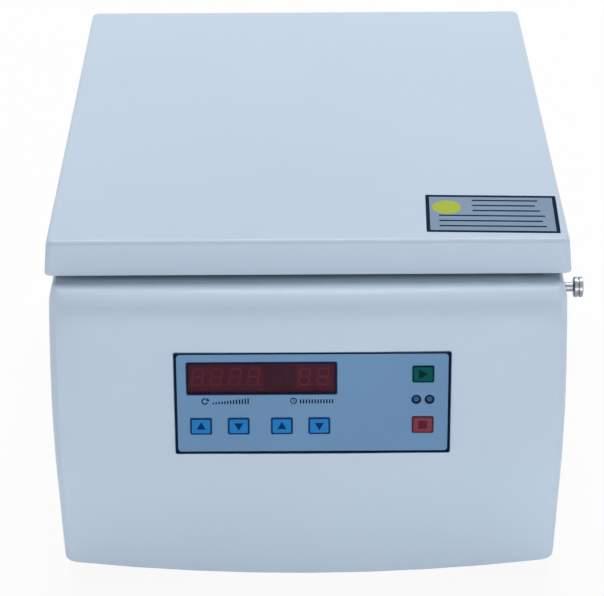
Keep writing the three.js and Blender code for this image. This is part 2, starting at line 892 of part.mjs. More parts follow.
function displayWindow() {
  const outline = roundedRectangle(displayWidth - 2 * seatGap, displayHeight - 2 * seatGap, panelCornerRadius,
    displayX, displayY);
  return plate(outline, overlayFace - overlayThickness, overlayFace - overlayThickness + paneThickness);
}

function displayBoard() {
  const top = -boardDepth;
  const board = plate(roundedRectangle(boardWidth, boardHeight, boardBossRadius), top - boardThickness, top);
  const stemTop = keyProud - keyThickness - keyTravel - seatGap;
  const switches = keys.flatMap(({ x, y }) => [
    box(
      [x - keySwitchBase / 2, y - keySwitchBase / 2, top - boardThickness / 2],
      [x + keySwitchBase / 2, y + keySwitchBase / 2, top + keySwitchBaseHeight],
    ),
    roundBar(keyStemRadius, top, stemTop, x, y, keyStemRadius, pinSides),
  ]);
  return join(board, ...switches);
}

function digitModule(x, digits) {
  const half = digits * digitPitch / 2;
  return box(
    [x - half, displayY - moduleHeight / 2, seatGap - boardDepth],
    [x + half, displayY + moduleHeight / 2, -moduleTopDepth],
  );
}

function lamp() {
  const steps = 3;
  const profile = [[0, seatGap - boardDepth], [lampRadius, seatGap - boardDepth]];
  for (let i = 0; i < steps; i += 1) {
    const angle = Math.PI / 2 * i / steps;
    const rise = lampDomeHeight * Math.sin(angle);
    profile.push([lampRadius * Math.cos(angle), overlayFace - lampDomeHeight + rise]);
  }
  profile.push([0, overlayFace]);
  return turned(profile, pegSides);
}

function keyCap() {
  const bevel = keyProud - overlayFace;
  const shape = roundedRectangle(keyWidth - 2 * bevel, keyHeight - 2 * bevel, keyCornerRadius - bevel);
  const geometry = new THREE.ExtrudeGeometry(shape, {
    depth: keyThickness - 2 * bevel,
    bevelThickness: bevel,
    bevelSize: bevel,
    bevelSegments: 1,
    curveSegments: 2,
  });
  return toSolid(geometry.translate(0, 0, keyProud - keyThickness + bevel));
}

// Bolt lock

// Body turned about an axis along X, with the profile's heights as places along X
function turnedAlongX(profile, y, z, sides = smallSides) {
  const geometry = toGeometry(turned(profile, sides));
  geometry.rotateY(Math.PI / 2);
  return toSolid(geometry.translate(0, y, z));
}

function latchBolt() {
  const tip = strikeX + strikeThickness / 2 + seatGap;
  const end = knobStandOff - seatGap;
  const collarEnd = bodyHalf - bodyWall - seatGap;
  const collarStart = collarEnd - boltCollarThickness;
  return turnedAlongX([
    [0, tip],
    [boltRadius - boltTipChamfer, tip],
    [boltRadius, tip + boltTipChamfer],
    [boltRadius, collarStart],
    [boltCollarRadius, collarStart],
    [boltCollarRadius, collarEnd],
    [boltRadius, collarEnd],
    [boltRadius, end],
    [0, end],
  ], boltY, boltZ);
}

function latchKnob() {
  const waist = knobStandOff + knobThickness / 2;
  return turnedAlongX([
    [0, knobStandOff],
    [knobRadius - knobChamfer, knobStandOff],
    [knobRadius, knobStandOff + knobChamfer],
    [knobRadius, waist - knobChamfer],
    [knobWaistRadius, waist],
    [knobRadius, waist + knobChamfer],
    [knobRadius, knobEnd - knobChamfer],
    [knobRadius - knobChamfer, knobEnd],
    [0, knobEnd],
  ], boltY, boltZ);
}

function latchBracket() {
  const left = strikeX + bracketStandOff;
  const top = deckUnderside - seatGap;
  const front = boltY - bracketWidth / 2;
  const rear = boltY + bracketWidth / 2;
  const tie = box([left, front, top - bracketEar], [left + bracketLength, rear, top]);
  const earRight = left + bracketEar;
  const ear = box([left, front, boltZ - bracketReach], [earRight, rear, top]);
  const bore = barAlongX(boltRadius + seatGap, left - cutOverrun, earRight + cutOverrun, boltY, boltZ);
  return cut(join(tie, ear), bore);
}

function lidStrike() {
  const top = linerBottom - seatGap;
  const left = strikeX - strikeThickness / 2;
  const right = strikeX + strikeThickness / 2;
  const front = boltY - strikeWidth / 2;
  const rear = boltY + strikeWidth / 2;
  const blade = box([left, front, boltZ - strikeReach], [right, rear, top]);
  const strikeFoot = box([left, front, top - strikeFootThickness], [left + strikeFootLength, rear, top]);
  const hole = barAlongX(boltRadius + strikeHoleGap, left - cutOverrun, right + cutOverrun, boltY, boltZ);
  return cut(join(blade, strikeFoot), hole);
}

function lidSwitch() {
  const right = strikeX - strikeThickness / 2 - seatGap;
  const top = deckUnderside - seatGap;
  return box(
    [right - lidSwitchWidth, boltY - lidSwitchLength / 2, top - lidSwitchHeight],
    [right, boltY + lidSwitchLength / 2, top],
  );
}

// Lid

// Ring of the lid, whose lip spreads towards its lower edge on the front and the sides
function lidRing(offset, inset, z) {
  const lipTop = lidTop - lidEdgeRadius;
  const spread = lidDraft * Math.max(0, lipTop - z) / (lipTop - lidBottom);
  return ring({
    half: lidHalf - offset - inset + spread,
    front: offset + inset - spread,
    rear: lidDepth - offset - inset,
    radius: lidCornerRadius - offset - inset,
    bow: 0,
    z,
  }, 1);
}

function lidBlock(offset, low, high) {
  const radius = lidEdgeRadius - offset;
  const rings = [lidRing(offset, 0, low)];
  const steps = 5;
  for (let i = 0; i <= steps; i += 1) {
    const angle = Math.PI / 2 * i / steps;
    rings.push(lidRing(offset, radius * (1 - Math.cos(angle)), high - radius * (1 - Math.sin(angle))));
  }
  return loft(rings);
}

function lidShell() {
  const outer = lidBlock(0, lidBottom, lidTop);
  const inner = lidBlock(lidWall, lidBottom - cutOverrun, lidTop - lidRoof);
  const bossLow = linerBottom + linerThickness + seatGap;
  const bosses = [];
  for (const sx of [-1, 1]) {
    for (const share of lidBossDepthShares) {
      bosses.push(roundBar(lidBossRadius, bossLow, lidTop - lidRoof / 2, sx * (lidHalf - lidBossInset),
        share * lidDepth, lidBossRadius, pegSides));
    }
  }
  return join(cut(outer, inner), ...bosses);
}

function lidLiner() {
  const high = linerBottom + linerThickness;
  const offset = lidWall + seatGap;
  const sheet = loft([lidRing(offset, 0, linerBottom), lidRing(offset, 0, high)]);
  const dishLow = linerBottom - linerDishDrop;
  const pressing = roundBar(linerDishRadius, dishLow, high, 0, chamberCentreY,
    linerDishRadius + linerDishSlope, bowlSides);
  const hollow = roundBar(linerDishRadius - linerThickness, dishLow + linerThickness, high + linerThickness,
    0, chamberCentreY, linerDishRadius + linerDishSlope - linerThickness, bowlSides);
  return cut(join(sheet, pressing), hollow);
}

// Hinges, about an axis along X behind the lid

function hingeLeaf(x, knuckles, plateLow, plateHigh) {
  const front = bodyRear + seatGap;
  const rear = front + hingeLeafThickness;
  const leaf = box([x - hingeWidth / 2, front, plateLow], [x + hingeWidth / 2, rear, plateHigh]);
  const reach = plateLow > hingeAxisZ ? plateLow : plateHigh;
  const parts = knuckles.flatMap(([x0, x1]) => [
    barAlongX(hingeKnuckleRadius, x + x0, x + x1, hingeAxisY, hingeAxisZ, pegSides),
    box(
      [x + x0, front, Math.min(reach, hingeAxisZ)],
      [x + x1, rear, Math.max(reach, hingeAxisZ)],
    ),
  ]);
  const bore = barAlongX(hingePinRadius + seatGap, x - hingeWidth, x + hingeWidth, hingeAxisY, hingeAxisZ,
    pegSides);
  return cut(join(leaf, ...parts), bore);
}

function hingeBodyLeaf(x) {
  const high = hingeAxisZ - hingeKnuckleRadius - hingeLeafGap;
  const half = hingeWidth / 2;
  return hingeLeaf(x, [[-half, hingeKnuckleLength - half], [half - hingeKnuckleLength, half]],
    high - hingeBodyLeafHeight, high);
}

function hingeLidLeaf(x) {
  const low = hingeAxisZ + hingeKnuckleRadius + hingeLeafGap;
  const half = hingeWidth / 2 - hingeKnuckleLength - seatGap;
  return hingeLeaf(x, [[-half, half]], low, low + hingeLidLeafHeight);
}

function hingePin(x) {
  const inner = hingeWidth / 2 + seatGap;
  const outer = inner + pinHeadThickness;
  return turnedAlongX([
    [0, x - outer],
    [pinHeadRadius, x - outer],
    [pinHeadRadius, x - inner],
    [hingePinRadius, x - inner],
    [hingePinRadius, x + inner],
    [pinHeadRadius, x + inner],
    [pinHeadRadius, x + outer],
    [0, x + outer],
  ], hingeAxisY, hingeAxisZ, pegSides);
}

// Rear

// Upright plate with its outline in X and Z, between two depths along Y
function uprightPlate(shape, y0, y1, curveSegments = 2) {
  const geometry = new THREE.ExtrudeGeometry(shape, { depth: y1 - y0, bevelEnabled: false, curveSegments });
  geometry.rotateX(Math.PI / 2);
  return toSolid(geometry.translate(0, y1, 0));
}

function rearPanel() {
  const height = rearPanelHigh - rearPanelLow;
  const outline = roundedRectangle(2 * rearPanelHalf, height, rearPanelCorner, 0, rearPanelLow + height / 2);
  outline.holes.push(
    roundedRectangle(inletWidth + 2 * seatGap, inletHeight + 2 * seatGap, mouldedCorner, inletX, inletZ),
    roundedRectangle(switchWidth + 2 * seatGap, switchHeight + 2 * seatGap, mouldedCorner, switchX, switchZ),
  );
  for (const x of [-ventX, ventX]) {
    for (let row = 0; row < ventRows; row += 1) {
      outline.holes.push(roundedRectangle(ventSlotWidth, ventSlotHeight, ventSlotHeight / 2, x,
        ventTop - row * ventPitch));
    }
  }
  return uprightPlate(outline, rearPanelInner, rearPanelOuter, 1);
}

function powerInlet() {
  const back = rearPanelOuter + seatGap;
  const flangeWidth = inletWidth + 2 * inletFlange;
  const flangeHeight = inletHeight + 2 * inletFlange;
  const flange = roundedRectangle(flangeWidth, flangeHeight, inletFlange / 2, inletX, inletZ);
  const body = roundedRectangle(inletWidth, inletHeight, mouldedCorner, inletX, inletZ);
  const socketZ = inletZ - socketDrop;
  const socket = roundedRectangle(socketWidth, socketHeight, socketCorner, inletX, socketZ);
  const slot = roundedRectangle(drawerWidth + 2 * seatGap, drawerHeight + 2 * seatGap, mouldedCorner, inletX,
    inletZ + drawerRise);
  const block = uprightPlate(body, inletFace - inletDepth, inletFace - seatGap);
  const shell = cut(
    join(uprightPlate(flange, back, inletFace), block),
    uprightPlate(socket, inletFace - socketDepth, inletFace + cutOverrun),
    uprightPlate(slot, inletFace - drawerDepth - seatGap, inletFace + cutOverrun),
  );
  const pinRoot = inletFace - socketDepth - seatGap;
  const pinTip = inletFace - socketDepth + inletPinLength;
  const halfThickness = inletPinThickness / 2;
  const halfWidth = inletPinWidth / 2;
  const pins = [[-inletPinPitch, 0], [0, inletEarthRise], [inletPinPitch, 0]].map(([x, rise]) => box(
    [inletX + x - halfThickness, pinRoot, socketZ + rise - halfWidth],
    [inletX + x + halfThickness, pinTip, socketZ + rise + halfWidth],
  ));
  return join(shell, ...pins);
}

function fuseDrawer() {
  const z = inletZ + drawerRise;
  const block = roundedRectangle(drawerWidth, drawerHeight, mouldedCorner, inletX, z);
  const front = roundedRectangle(drawerWidth + 4 * drawerFaceMargin, drawerHeight + 2 * drawerFaceMargin,
    drawerFaceMargin, inletX, z);
  return join(
    uprightPlate(block, inletFace - drawerDepth, inletFace + seatGap + drawerFaceThickness / 2),
    uprightPlate(front, inletFace + seatGap, inletFace + seatGap + drawerFaceThickness),
  );
}

function switchBezel() {
  const back = rearPanelOuter + seatGap;
  const flangeWidth = switchWidth + 2 * switchFlange;
  const flangeHeight = switchHeight + 2 * switchFlange;
  const flange = roundedRectangle(flangeWidth, flangeHeight, switchFlange / 2, switchX, switchZ);
  const body = roundedRectangle(switchWidth, switchHeight, mouldedCorner, switchX, switchZ);
  const mouth = roundedRectangle(switchWidth - 2 * switchWall, switchHeight - 2 * switchWall, mouldedCorner,
    switchX, switchZ);
  const mouthDepth = rockerPivotDepth + rockerSkirtDepth;
  const block = uprightPlate(body, switchFace - switchDepth, switchFace - seatGap);
  return cut(
    join(uprightPlate(flange, back, switchFace), block),
    uprightPlate(mouth, switchFace - mouthDepth, switchFace + cutOverrun),
  );
}

function powerRocker() {
  const pivotY = switchFace - rockerPivotDepth;
  const halfWidth = switchWidth / 2 - switchWall - rockerSideGap;
  const halfHeight = switchHeight / 2 - switchWall - rockerEndGap;
  const faceRise = rockerPivotDepth - rockerFaceRise / 2;
  const endRise = faceRise + halfHeight * Math.tan(rockerThrow / 2);
  const profile = new THREE.Shape([
    new THREE.Vector2(rockerPivotDepth - rockerSkirtDepth, -halfHeight / 2),
    new THREE.Vector2(0, -halfHeight),
    new THREE.Vector2(endRise, -halfHeight),
    new THREE.Vector2(faceRise, 0),
    new THREE.Vector2(endRise, halfHeight),
    new THREE.Vector2(0, halfHeight),
    new THREE.Vector2(rockerPivotDepth - rockerSkirtDepth, halfHeight / 2),
  ]);
  const geometry = new THREE.ExtrudeGeometry(profile, { depth: 2 * halfWidth, bevelEnabled: false });
  geometry.translate(0, 0, -halfWidth);
  geometry.rotateY(Math.PI / 2);
  geometry.rotateX(Math.PI / 2);
  geometry.rotateX(-rockerThrow / 2);
  return toSolid(geometry.translate(switchX, pivotY, switchZ));
}

// Electronics

function transformer() {
  const low = panFloor + seatGap;
  const coreHalfX = transformerWidth / 2;
  const coilHalfX = coreHalfX - transformerLimb;
  const core = box(
    [transformerX - coreHalfX, transformerY - transformerDepth / 2, low],
    [transformerX + coreHalfX, transformerY + transformerDepth / 2, low + transformerHeight],
  );
  const coilHalfY = transformerCoilDepth / 2;
  const coilTop = low + transformerHeight - transformerLimb;
  const coil = box(
    [transformerX - coilHalfX, transformerY - coilHalfY, low + transformerLimb],
    [transformerX + coilHalfX, transformerY + coilHalfY, coilTop],
  );
  return join(core, coil);
}

function driveBoard() {
  const low = panFloor + seatGap;
  const boardLow = low + drivePostHeight;
  const boardTop = boardLow + boardThickness;
  const halfX = driveBoardWidth / 2;
  const halfY = driveBoardDepth / 2;
  const parts = [];
  for (const sx of [-1, 1]) {
    for (const sy of [-1, 1]) {
      parts.push(roundBar(drivePostRadius, low, boardLow + boardThickness / 2, sx * (halfX - drivePostInset),
        sy * (halfY - drivePostInset), drivePostRadius, pinSides));
    }
  }
  const sinkLow = boardTop - boardThickness / 2;
  const sinkY = -halfY / 2;
  const sinkHalfX = heatSinkWidth / 2;
  parts.push(box(
    [-sinkHalfX, sinkY - heatSinkDepth / 2, sinkLow],
    [sinkHalfX, sinkY + heatSinkDepth / 2, boardTop + heatSinkBase],
  ));
  for (let x = -sinkHalfX; x + heatSinkFin <= sinkHalfX; x += heatSinkPitch) {
    parts.push(box(
      [x, sinkY - heatSinkDepth / 2, sinkLow],
      [x + heatSinkFin, sinkY + heatSinkDepth / 2, boardTop + heatSinkHeight],
    ));
  }
  const capacitorTop = boardTop + capacitorHeight;
  for (const step of [-1, 0, 1]) {
    parts.push(roundBar(capacitorRadius, sinkLow, capacitorTop, step * capacitorPitch, halfY / 2,
      capacitorRadius, pegSides));
  }
  const board = box([-halfX, -halfY, boardLow], [halfX, halfY, boardTop]);
  return join(board, ...parts);
}

// Materials

function material(name, colour, roughness, metalness) {
  const made = new THREE.MeshStandardMaterial({ color: new THREE.Color(colour), roughness, metalness });
  made.name = name;
  return made;
}

const paint = material('paint', '#c0d0de', 0.4, 0);
const sheetSteel = material('sheet_steel', '#b9bec2', 0.4, 0.9);
const stainless = material('stainless', '#c9ccce', 0.28, 1);
const aluminium = material('aluminium', '#b4b9bd', 0.35, 1);
const turnedSteel = material('turned_steel', '#c4c8ca', 0.25, 1);
const blackPlastic = material('black_plastic', '#1b1d20', 0.5, 0);
const rubber = material('rubber', '#22262a', 0.8, 0);
const panelFilm = material('panel_film', '#688aaf', 0.45, 0);
const redPane = material('red_pane', '#4b1f36', 0.2, 0);
const board = material('board', '#1d5a3a', 0.6, 0);
const moduleGrey = material('module_grey', '#2c2f33', 0.5, 0);
const blueKey = material('blue_key', '#2d8ccd', 0.45, 0);
const greenKey = material('green_key', '#146e5f', 0.45, 0);
const redKey = material('red_key', '#a5465a', 0.45, 0);
const lampGrey = material('lamp_grey', '#4a6a88', 0.25, 0);
const motorPaint = material('motor_paint', '#3a3f45', 0.5, 0.3);
const lamination = material('lamination', '#6d6a62', 0.5, 0.6);

// Assembly

const group = new THREE.Group();
const machine = new THREE.Group();
machine.position.set((lidHalf + lidDraft - knobEnd) / 2, (bellyReach - rearMost) / 2, 0);
group.add(machine);

const panel = new THREE.Group();
panel.position.copy(panelOrigin);
panel.rotation.x = panelTurn;
machine.add(panel);

const drive = new THREE.Group();
drive.position.set(0, chamberCentreY, 0);
machine.add(drive);

function add(parent, name, solid, finish, x = 0, y = 0, z = 0) {
  const mesh = new THREE.Mesh(toGeometry(solid), finish);
  mesh.name = name;
  mesh.position.set(x, y, z);
  parent.add(mesh);
}

add(machine, 'housing_shell', housingShell(), paint);
add(machine, 'base_pan', basePan(), sheetSteel);
const footX = bodyHalf - footInsetX;
const footPlaces = [[-footX, footFrontY], [footX, footFrontY], [-footX, bodyRear - footRearInset],
  [footX, bodyRear - footRearInset]];
footPlaces.forEach(([x, y], i) => add(machine, `foot_${i + 1}`, foot(), rubber, x, y));

add(drive, 'chamber_bowl', chamberBowl(), stainless);
add(drive, 'chamber_seal', chamberSeal(), rubber);
add(drive, 'rotor_head', rotorHead(), aluminium);
add(drive, 'rotor_nut', rotorNut(), turnedSteel);
add(drive, 'motor_shaft', motorShaft(), turnedSteel);
add(drive, 'motor_housing', motorHousing(), motorPaint);
add(drive, 'motor_mount_plate', mountPlate(), sheetSteel);
const damperReach = mountPlateWidth / 2 - damperInset;
const damperPlaces = [[-1, -1], [1, -1], [-1, 1], [1, 1]];
damperPlaces.forEach(([sx, sy], i) => {
  add(drive, `mount_damper_${i + 1}`, mountDamper(), rubber, sx * damperReach, sy * damperReach);
});

add(panel, 'panel_overlay', panelOverlay(), panelFilm);
add(panel, 'display_window', displayWindow(), redPane);
add(panel, 'display_board', displayBoard(), board);
add(panel, 'speed_display', digitModule(speedModuleX, speedDigits), moduleGrey);
add(panel, 'time_display', digitModule(timeModuleX, timeDigits), moduleGrey);
lamps.forEach(({ name, x, y }) => add(panel, name, lamp(), lampGrey, x, y));
keys.forEach(({ name, x, y }) => {
  const finish = { key_start: greenKey, key_stop: redKey }[name] ?? blueKey;
  add(panel, name, keyCap(), finish, x, y);
});

add(machine, 'latch_bracket', latchBracket(), sheetSteel);
add(machine, 'latch_bolt', latchBolt(), turnedSteel);
add(machine, 'latch_knob', latchKnob(), turnedSteel);
add(machine, 'lid_switch', lidSwitch(), blackPlastic);

add(machine, 'lid_shell', lidShell(), paint);
add(machine, 'lid_liner', lidLiner(), sheetSteel);
add(machine, 'lid_strike', lidStrike(), sheetSteel);
[-hingeX, hingeX].forEach((x, i) => {
  add(machine, `hinge_body_leaf_${i + 1}`, hingeBodyLeaf(x), sheetSteel);
  add(machine, `hinge_lid_leaf_${i + 1}`, hingeLidLeaf(x), sheetSteel);
  add(machine, `hinge_pin_${i + 1}`, hingePin(x), turnedSteel);
});

add(machine, 'rear_panel', rearPanel(), sheetSteel);
add(machine, 'power_inlet', powerInlet(), blackPlastic);
add(machine, 'fuse_drawer', fuseDrawer(), blackPlastic);
add(machine, 'switch_bezel', switchBezel(), blackPlastic);
add(machine, 'power_rocker', powerRocker(), blackPlastic);
add(machine, 'transformer', transformer(), lamination);
add(machine, 'drive_board', driveBoard(), board, driveBoardX, driveBoardY);

export default group;
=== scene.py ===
"""Finish, prints, fasteners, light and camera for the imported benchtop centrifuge."""

import json
import math

import bmesh
import bpy
from mathutils import Matrix, Vector

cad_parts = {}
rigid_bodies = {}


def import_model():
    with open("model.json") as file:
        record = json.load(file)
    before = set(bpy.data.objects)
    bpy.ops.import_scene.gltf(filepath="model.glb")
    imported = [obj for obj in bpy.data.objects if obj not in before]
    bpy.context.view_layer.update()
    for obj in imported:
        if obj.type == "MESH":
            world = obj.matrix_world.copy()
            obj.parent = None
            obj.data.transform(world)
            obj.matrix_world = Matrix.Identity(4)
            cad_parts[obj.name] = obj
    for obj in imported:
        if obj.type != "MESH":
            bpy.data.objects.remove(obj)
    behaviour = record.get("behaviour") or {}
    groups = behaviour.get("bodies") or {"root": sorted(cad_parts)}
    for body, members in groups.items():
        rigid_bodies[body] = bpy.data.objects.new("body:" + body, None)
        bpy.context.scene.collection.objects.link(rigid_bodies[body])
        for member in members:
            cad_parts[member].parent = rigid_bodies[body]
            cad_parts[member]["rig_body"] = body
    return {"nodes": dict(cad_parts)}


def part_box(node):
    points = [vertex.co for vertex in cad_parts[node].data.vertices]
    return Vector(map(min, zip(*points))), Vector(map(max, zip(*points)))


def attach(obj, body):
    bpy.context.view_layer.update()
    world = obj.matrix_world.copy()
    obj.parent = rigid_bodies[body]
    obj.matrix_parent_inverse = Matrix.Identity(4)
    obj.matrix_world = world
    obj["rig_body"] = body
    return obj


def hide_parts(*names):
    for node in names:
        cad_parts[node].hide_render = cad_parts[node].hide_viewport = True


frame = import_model()
for spare in ("Cube", "Light", "Camera"):
    if spare in bpy.data.objects:
        bpy.data.objects.remove(bpy.data.objects[spare])
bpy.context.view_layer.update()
scene = bpy.context.scene

# Places

MM = 0.001
# The machine's own frame: x = 0 on the centre plane, y = 0 at the lid's front fold, z = 0 on the bench
OFFSET = Vector((-5.1, -179.05, 0.0))


def at(x, y, z):
    """A point of the machine's own frame, given in millimetres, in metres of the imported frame."""
    return (Vector((x, y, z)) + OFFSET) * MM


def basis(origin, right, up):
    """Millimetres along right, up and out of a surface, counted from a point on it."""
    right, up = Vector(right).normalized(), Vector(up).normalized()
    out = right.cross(up)
    turn = Matrix((right, up, out)).transposed().to_4x4()
    return Matrix.Translation(origin) @ turn @ Matrix.Scale(MM, 4)


# Where the chamber's axis meets the bench
CHAMBER = at(0, 200, 0)

PANEL_TILT = math.radians(10)
OVERLAY_HALF_THICKNESS = 0.6
PANEL_UP = Vector((0, math.sin(PANEL_TILT), math.cos(PANEL_TILT)))
PANEL_OUT = Vector((0, -math.cos(PANEL_TILT), math.sin(PANEL_TILT)))
overlay_low, overlay_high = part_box("panel_overlay")
overlay_middle = (overlay_low + overlay_high) / 2
# The overlay's printed face, from its centre
PANEL = basis(overlay_middle + PANEL_OUT * OVERLAY_HALF_THICKNESS * MM, (1, 0, 0), PANEL_UP)

LID_TOP = 250.0
PLATE_TURN = math.radians(-1.9)
PLATE_ALONG = (math.cos(PLATE_TURN), math.sin(PLATE_TURN), 0)
PLATE_ACROSS = (-math.sin(PLATE_TURN), math.cos(PLATE_TURN), 0)
PLATE_MIDDLE = at(125.3, 37.8, LID_TOP)
# The plate on the lid, a little out of square with the lid
PLATE = basis(PLATE_MIDDLE, PLATE_ALONG, PLATE_ACROSS)

# Outlines and solids, in millimetres

# How thick all print is
INK = 0.05


def rounded(width, height, radius, x=0.0, y=0.0, steps=6):
    """A rectangle about a point, with round corners."""
    points = []
    for corner in range(4):
        cx = x + (width / 2 - radius) * (1, -1, -1, 1)[corner]
        cy = y + (height / 2 - radius) * (1, 1, -1, -1)[corner]
        for i in range(steps + 1):
            a = math.pi / 2 * (corner + i / steps)
            points.append((cx + radius * math.cos(a), cy + radius * math.sin(a)))
    return points


def circle(radius, x=0.0, y=0.0, sides=32):
    turns = [2 * math.pi * i / sides for i in range(sides)]
    return [(x + radius * math.cos(a), y + radius * math.sin(a)) for a in turns]


def prism(outline, z0, z1):
    n = len(outline)
    points = [(x, y, z0) for x, y in outline] + [(x, y, z1) for x, y in outline]
    sides = [(i, (i + 1) % n, n + (i + 1) % n, n + i) for i in range(n)]
    return points, [tuple(range(n))[::-1], tuple(range(n, 2 * n))] + sides


def band(outer, inner, z0, z1):
    """A flat ring between two outlines that have as many points."""
    n = len(outer)
    points = [(x, y, z) for z in (z0, z1) for loop in (outer, inner) for x, y in loop]
    o0, i0, o1, i1 = 0, n, 2 * n, 3 * n
    faces = []
    for i in range(n):
        j = (i + 1) % n
        faces += [(o1 + i, o1 + j, i1 + j, i1 + i), (o0 + j, o0 + i, i0 + i, i0 + j),
                  (o0 + i, o0 + j, o1 + j, o1 + i), (i0 + j, i0 + i, i1 + i, i1 + j)]
    return points, faces


def arc_band(x, y, radius, width, start, sweep, steps=24):
    """A printed stroke along part of a circle."""
    turns = [start + sweep * i / steps for i in range(steps + 1)]
    outer, inner = radius + width / 2, radius - width / 2
    outline = [(x + outer * math.cos(a), y + outer * math.sin(a)) for a in turns]
    outline += [(x + inner * math.cos(a), y + inner * math.sin(a)) for a in turns[::-1]]
    return prism(outline, 0, INK)


def lathe(profile, sides=64):
    """A closed body turned about local Z from [radius, height] points that begin and end on the axis."""
    rings = profile[1:-1]
    points = [(0, 0, profile[0][1]), (0, 0, profile[-1][1])]
    for radius, height in rings:
        points += [(x, y, height) for x, y in circle(radius, sides=sides)]
    faces = []
    for k in range(len(rings) - 1):
        a, b = 2 + k * sides, 2 + (k + 1) * sides
        faces += [(a + i, a + (i + 1) % sides, b + (i + 1) % sides, b + i) for i in range(sides)]
    end = 2 + (len(rings) - 1) * sides
    faces += [(0, 2 + (i + 1) % sides, 2 + i) for i in range(sides)]
    faces += [(1, end + i, end + (i + 1) % sides) for i in range(sides)]
    return points, faces


# A screw head's curve from its edge to its flat top, in shares of its radius and height
HEAD_CURVE = ((1.0, 0.2), (0.93, 0.6), (0.74, 0.9), (0.55, 1.0))
SOCKET_WIDTH, SOCKET_FLOOR = 0.36, 0.35
# How far a head is sunk in what it holds
SUNK = 0.3


def button_screw(radius, head):
    """Domed head with a hexagonal socket, its seat at local z = 0."""
    sides = 48
    turns = [2 * math.pi * i / sides for i in range(sides)]
    hexagon = [1 / math.cos(a % (math.pi / 3) - math.pi / 6) for a in turns]
    dome = [(radius, -SUNK)] + [(radius * wide, head * high) for wide, high in HEAD_CURVE]
    points = []
    for r, z in dome:
        points += [(x, y, z) for x, y in circle(r, sides=sides)]
    socket = [radius * SOCKET_WIDTH * h for h in hexagon]
    for z in (head, head * SOCKET_FLOOR):
        points += [(r * math.cos(a), r * math.sin(a), z) for r, a in zip(socket, turns)]
    faces = []
    for k in range(len(dome) + 1):
        a, b = k * sides, (k + 1) * sides
        faces += [(a + i, a + (i + 1) % sides, b + (i + 1) % sides, b + i) for i in range(sides)]
    last = (len(dome) + 1) * sides
    faces += [tuple(range(sides))[::-1], tuple(range(last, last + sides))]
    return points, faces


# Pieces


def settle(obj, finish, body):
    scene.collection.objects.link(obj)
    obj.data.materials.clear()
    obj.data.materials.append(finish)
    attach(obj, body)
    return obj


def round_off(bm, degrees):
    """Smooth shading everywhere but on edges sharper than an angle."""
    for face in bm.faces:
        face.smooth = True
    for edge in bm.edges:
        edge.smooth = edge.calc_face_angle(0) < math.radians(degrees)


def piece(name, solids, place, finish, body, smooth=None):
    """One object from (points, faces) pairs in millimetres of the frame given by place."""
    bm = bmesh.new()
    for points, faces in solids:
        made = [bm.verts.new(place @ Vector(p)) for p in points]
        for face in faces:
            bm.faces.new([made[i] for i in face])
    bmesh.ops.recalc_face_normals(bm, faces=bm.faces)
    if smooth is not None:
        round_off(bm, smooth)
    mesh = bpy.data.meshes.new(name)
    bm.to_mesh(mesh)
    bm.free()
    return settle(bpy.data.objects.new(name, mesh), finish, body)


def lettering(name, text, size, place, finish, body):
    """Plain letters or numbers, centred on the local origin and as thick as other print."""
    curve = bpy.data.curves.new(name + "_curve", "FONT")
    curve.body, curve.size, curve.extrude = text, size, INK / 2
    curve.align_x, curve.align_y, curve.resolution_u = "CENTER", "CENTER", 3
    holder = bpy.data.objects.new(name + "_curve", curve)
    scene.collection.objects.link(holder)
    mesh = bpy.data.meshes.new_from_object(holder.evaluated_get(bpy.context.evaluated_depsgraph_get()))
    bpy.data.objects.remove(holder)
    bpy.data.curves.remove(curve)
    mesh.transform(place)
    mesh.name = name
    return settle(bpy.data.objects.new(name, mesh), finish, body)


def cut_away(skin, cutter):
    """Cuts a solid out of a skin, and removes that solid from the scene."""
    cut = skin.modifiers.new("pocket", "BOOLEAN")
    cut.operation, cut.object, cut.solver = "DIFFERENCE", cutter, "EXACT"
    bpy.context.view_layer.update()
    whole = bpy.data.meshes.new_from_object(skin.evaluated_get(bpy.context.evaluated_depsgraph_get()))
    skin.modifiers.clear()
    skin.data = whole
    bpy.data.objects.remove(cutter)


# Points of a CAD mesh within this many metres are welded, and faces within this angle of flat are joined
WELD_WITHIN, FLAT_WITHIN = 2e-6, math.radians(0.25)


def dress(node, finish, angle=32, bevel=0.0, cutter=None):
    """A welded copy of a CAD solid with smooth curves and broken edges, standing for that solid."""
    source = frame["nodes"][node]
    bm = bmesh.new()
    bm.from_mesh(source.data)
    bmesh.ops.remove_doubles(bm, verts=bm.verts, dist=WELD_WITHIN)
    bmesh.ops.dissolve_limit(bm, angle_limit=FLAT_WITHIN, verts=bm.verts, edges=bm.edges)
    round_off(bm, angle)
    mesh = bpy.data.meshes.new(node + "_skin")
    bm.to_mesh(mesh)
    bm.free()
    if "custom_normal" in mesh.attributes:
        mesh.attributes.remove(mesh.attributes["custom_normal"])
    skin = settle(bpy.data.objects.new(node + "_skin", mesh), finish, source["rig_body"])
    if cutter is not None:
        cut_away(skin, cutter)
    if bevel:
        soften = skin.modifiers.new("edges", "BEVEL")
        soften.width, soften.segments, soften.limit_method = bevel * MM, 2, "ANGLE"
        soften.angle_limit, soften.harden_normals = math.radians(angle), True
    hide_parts(node)


# Finishes


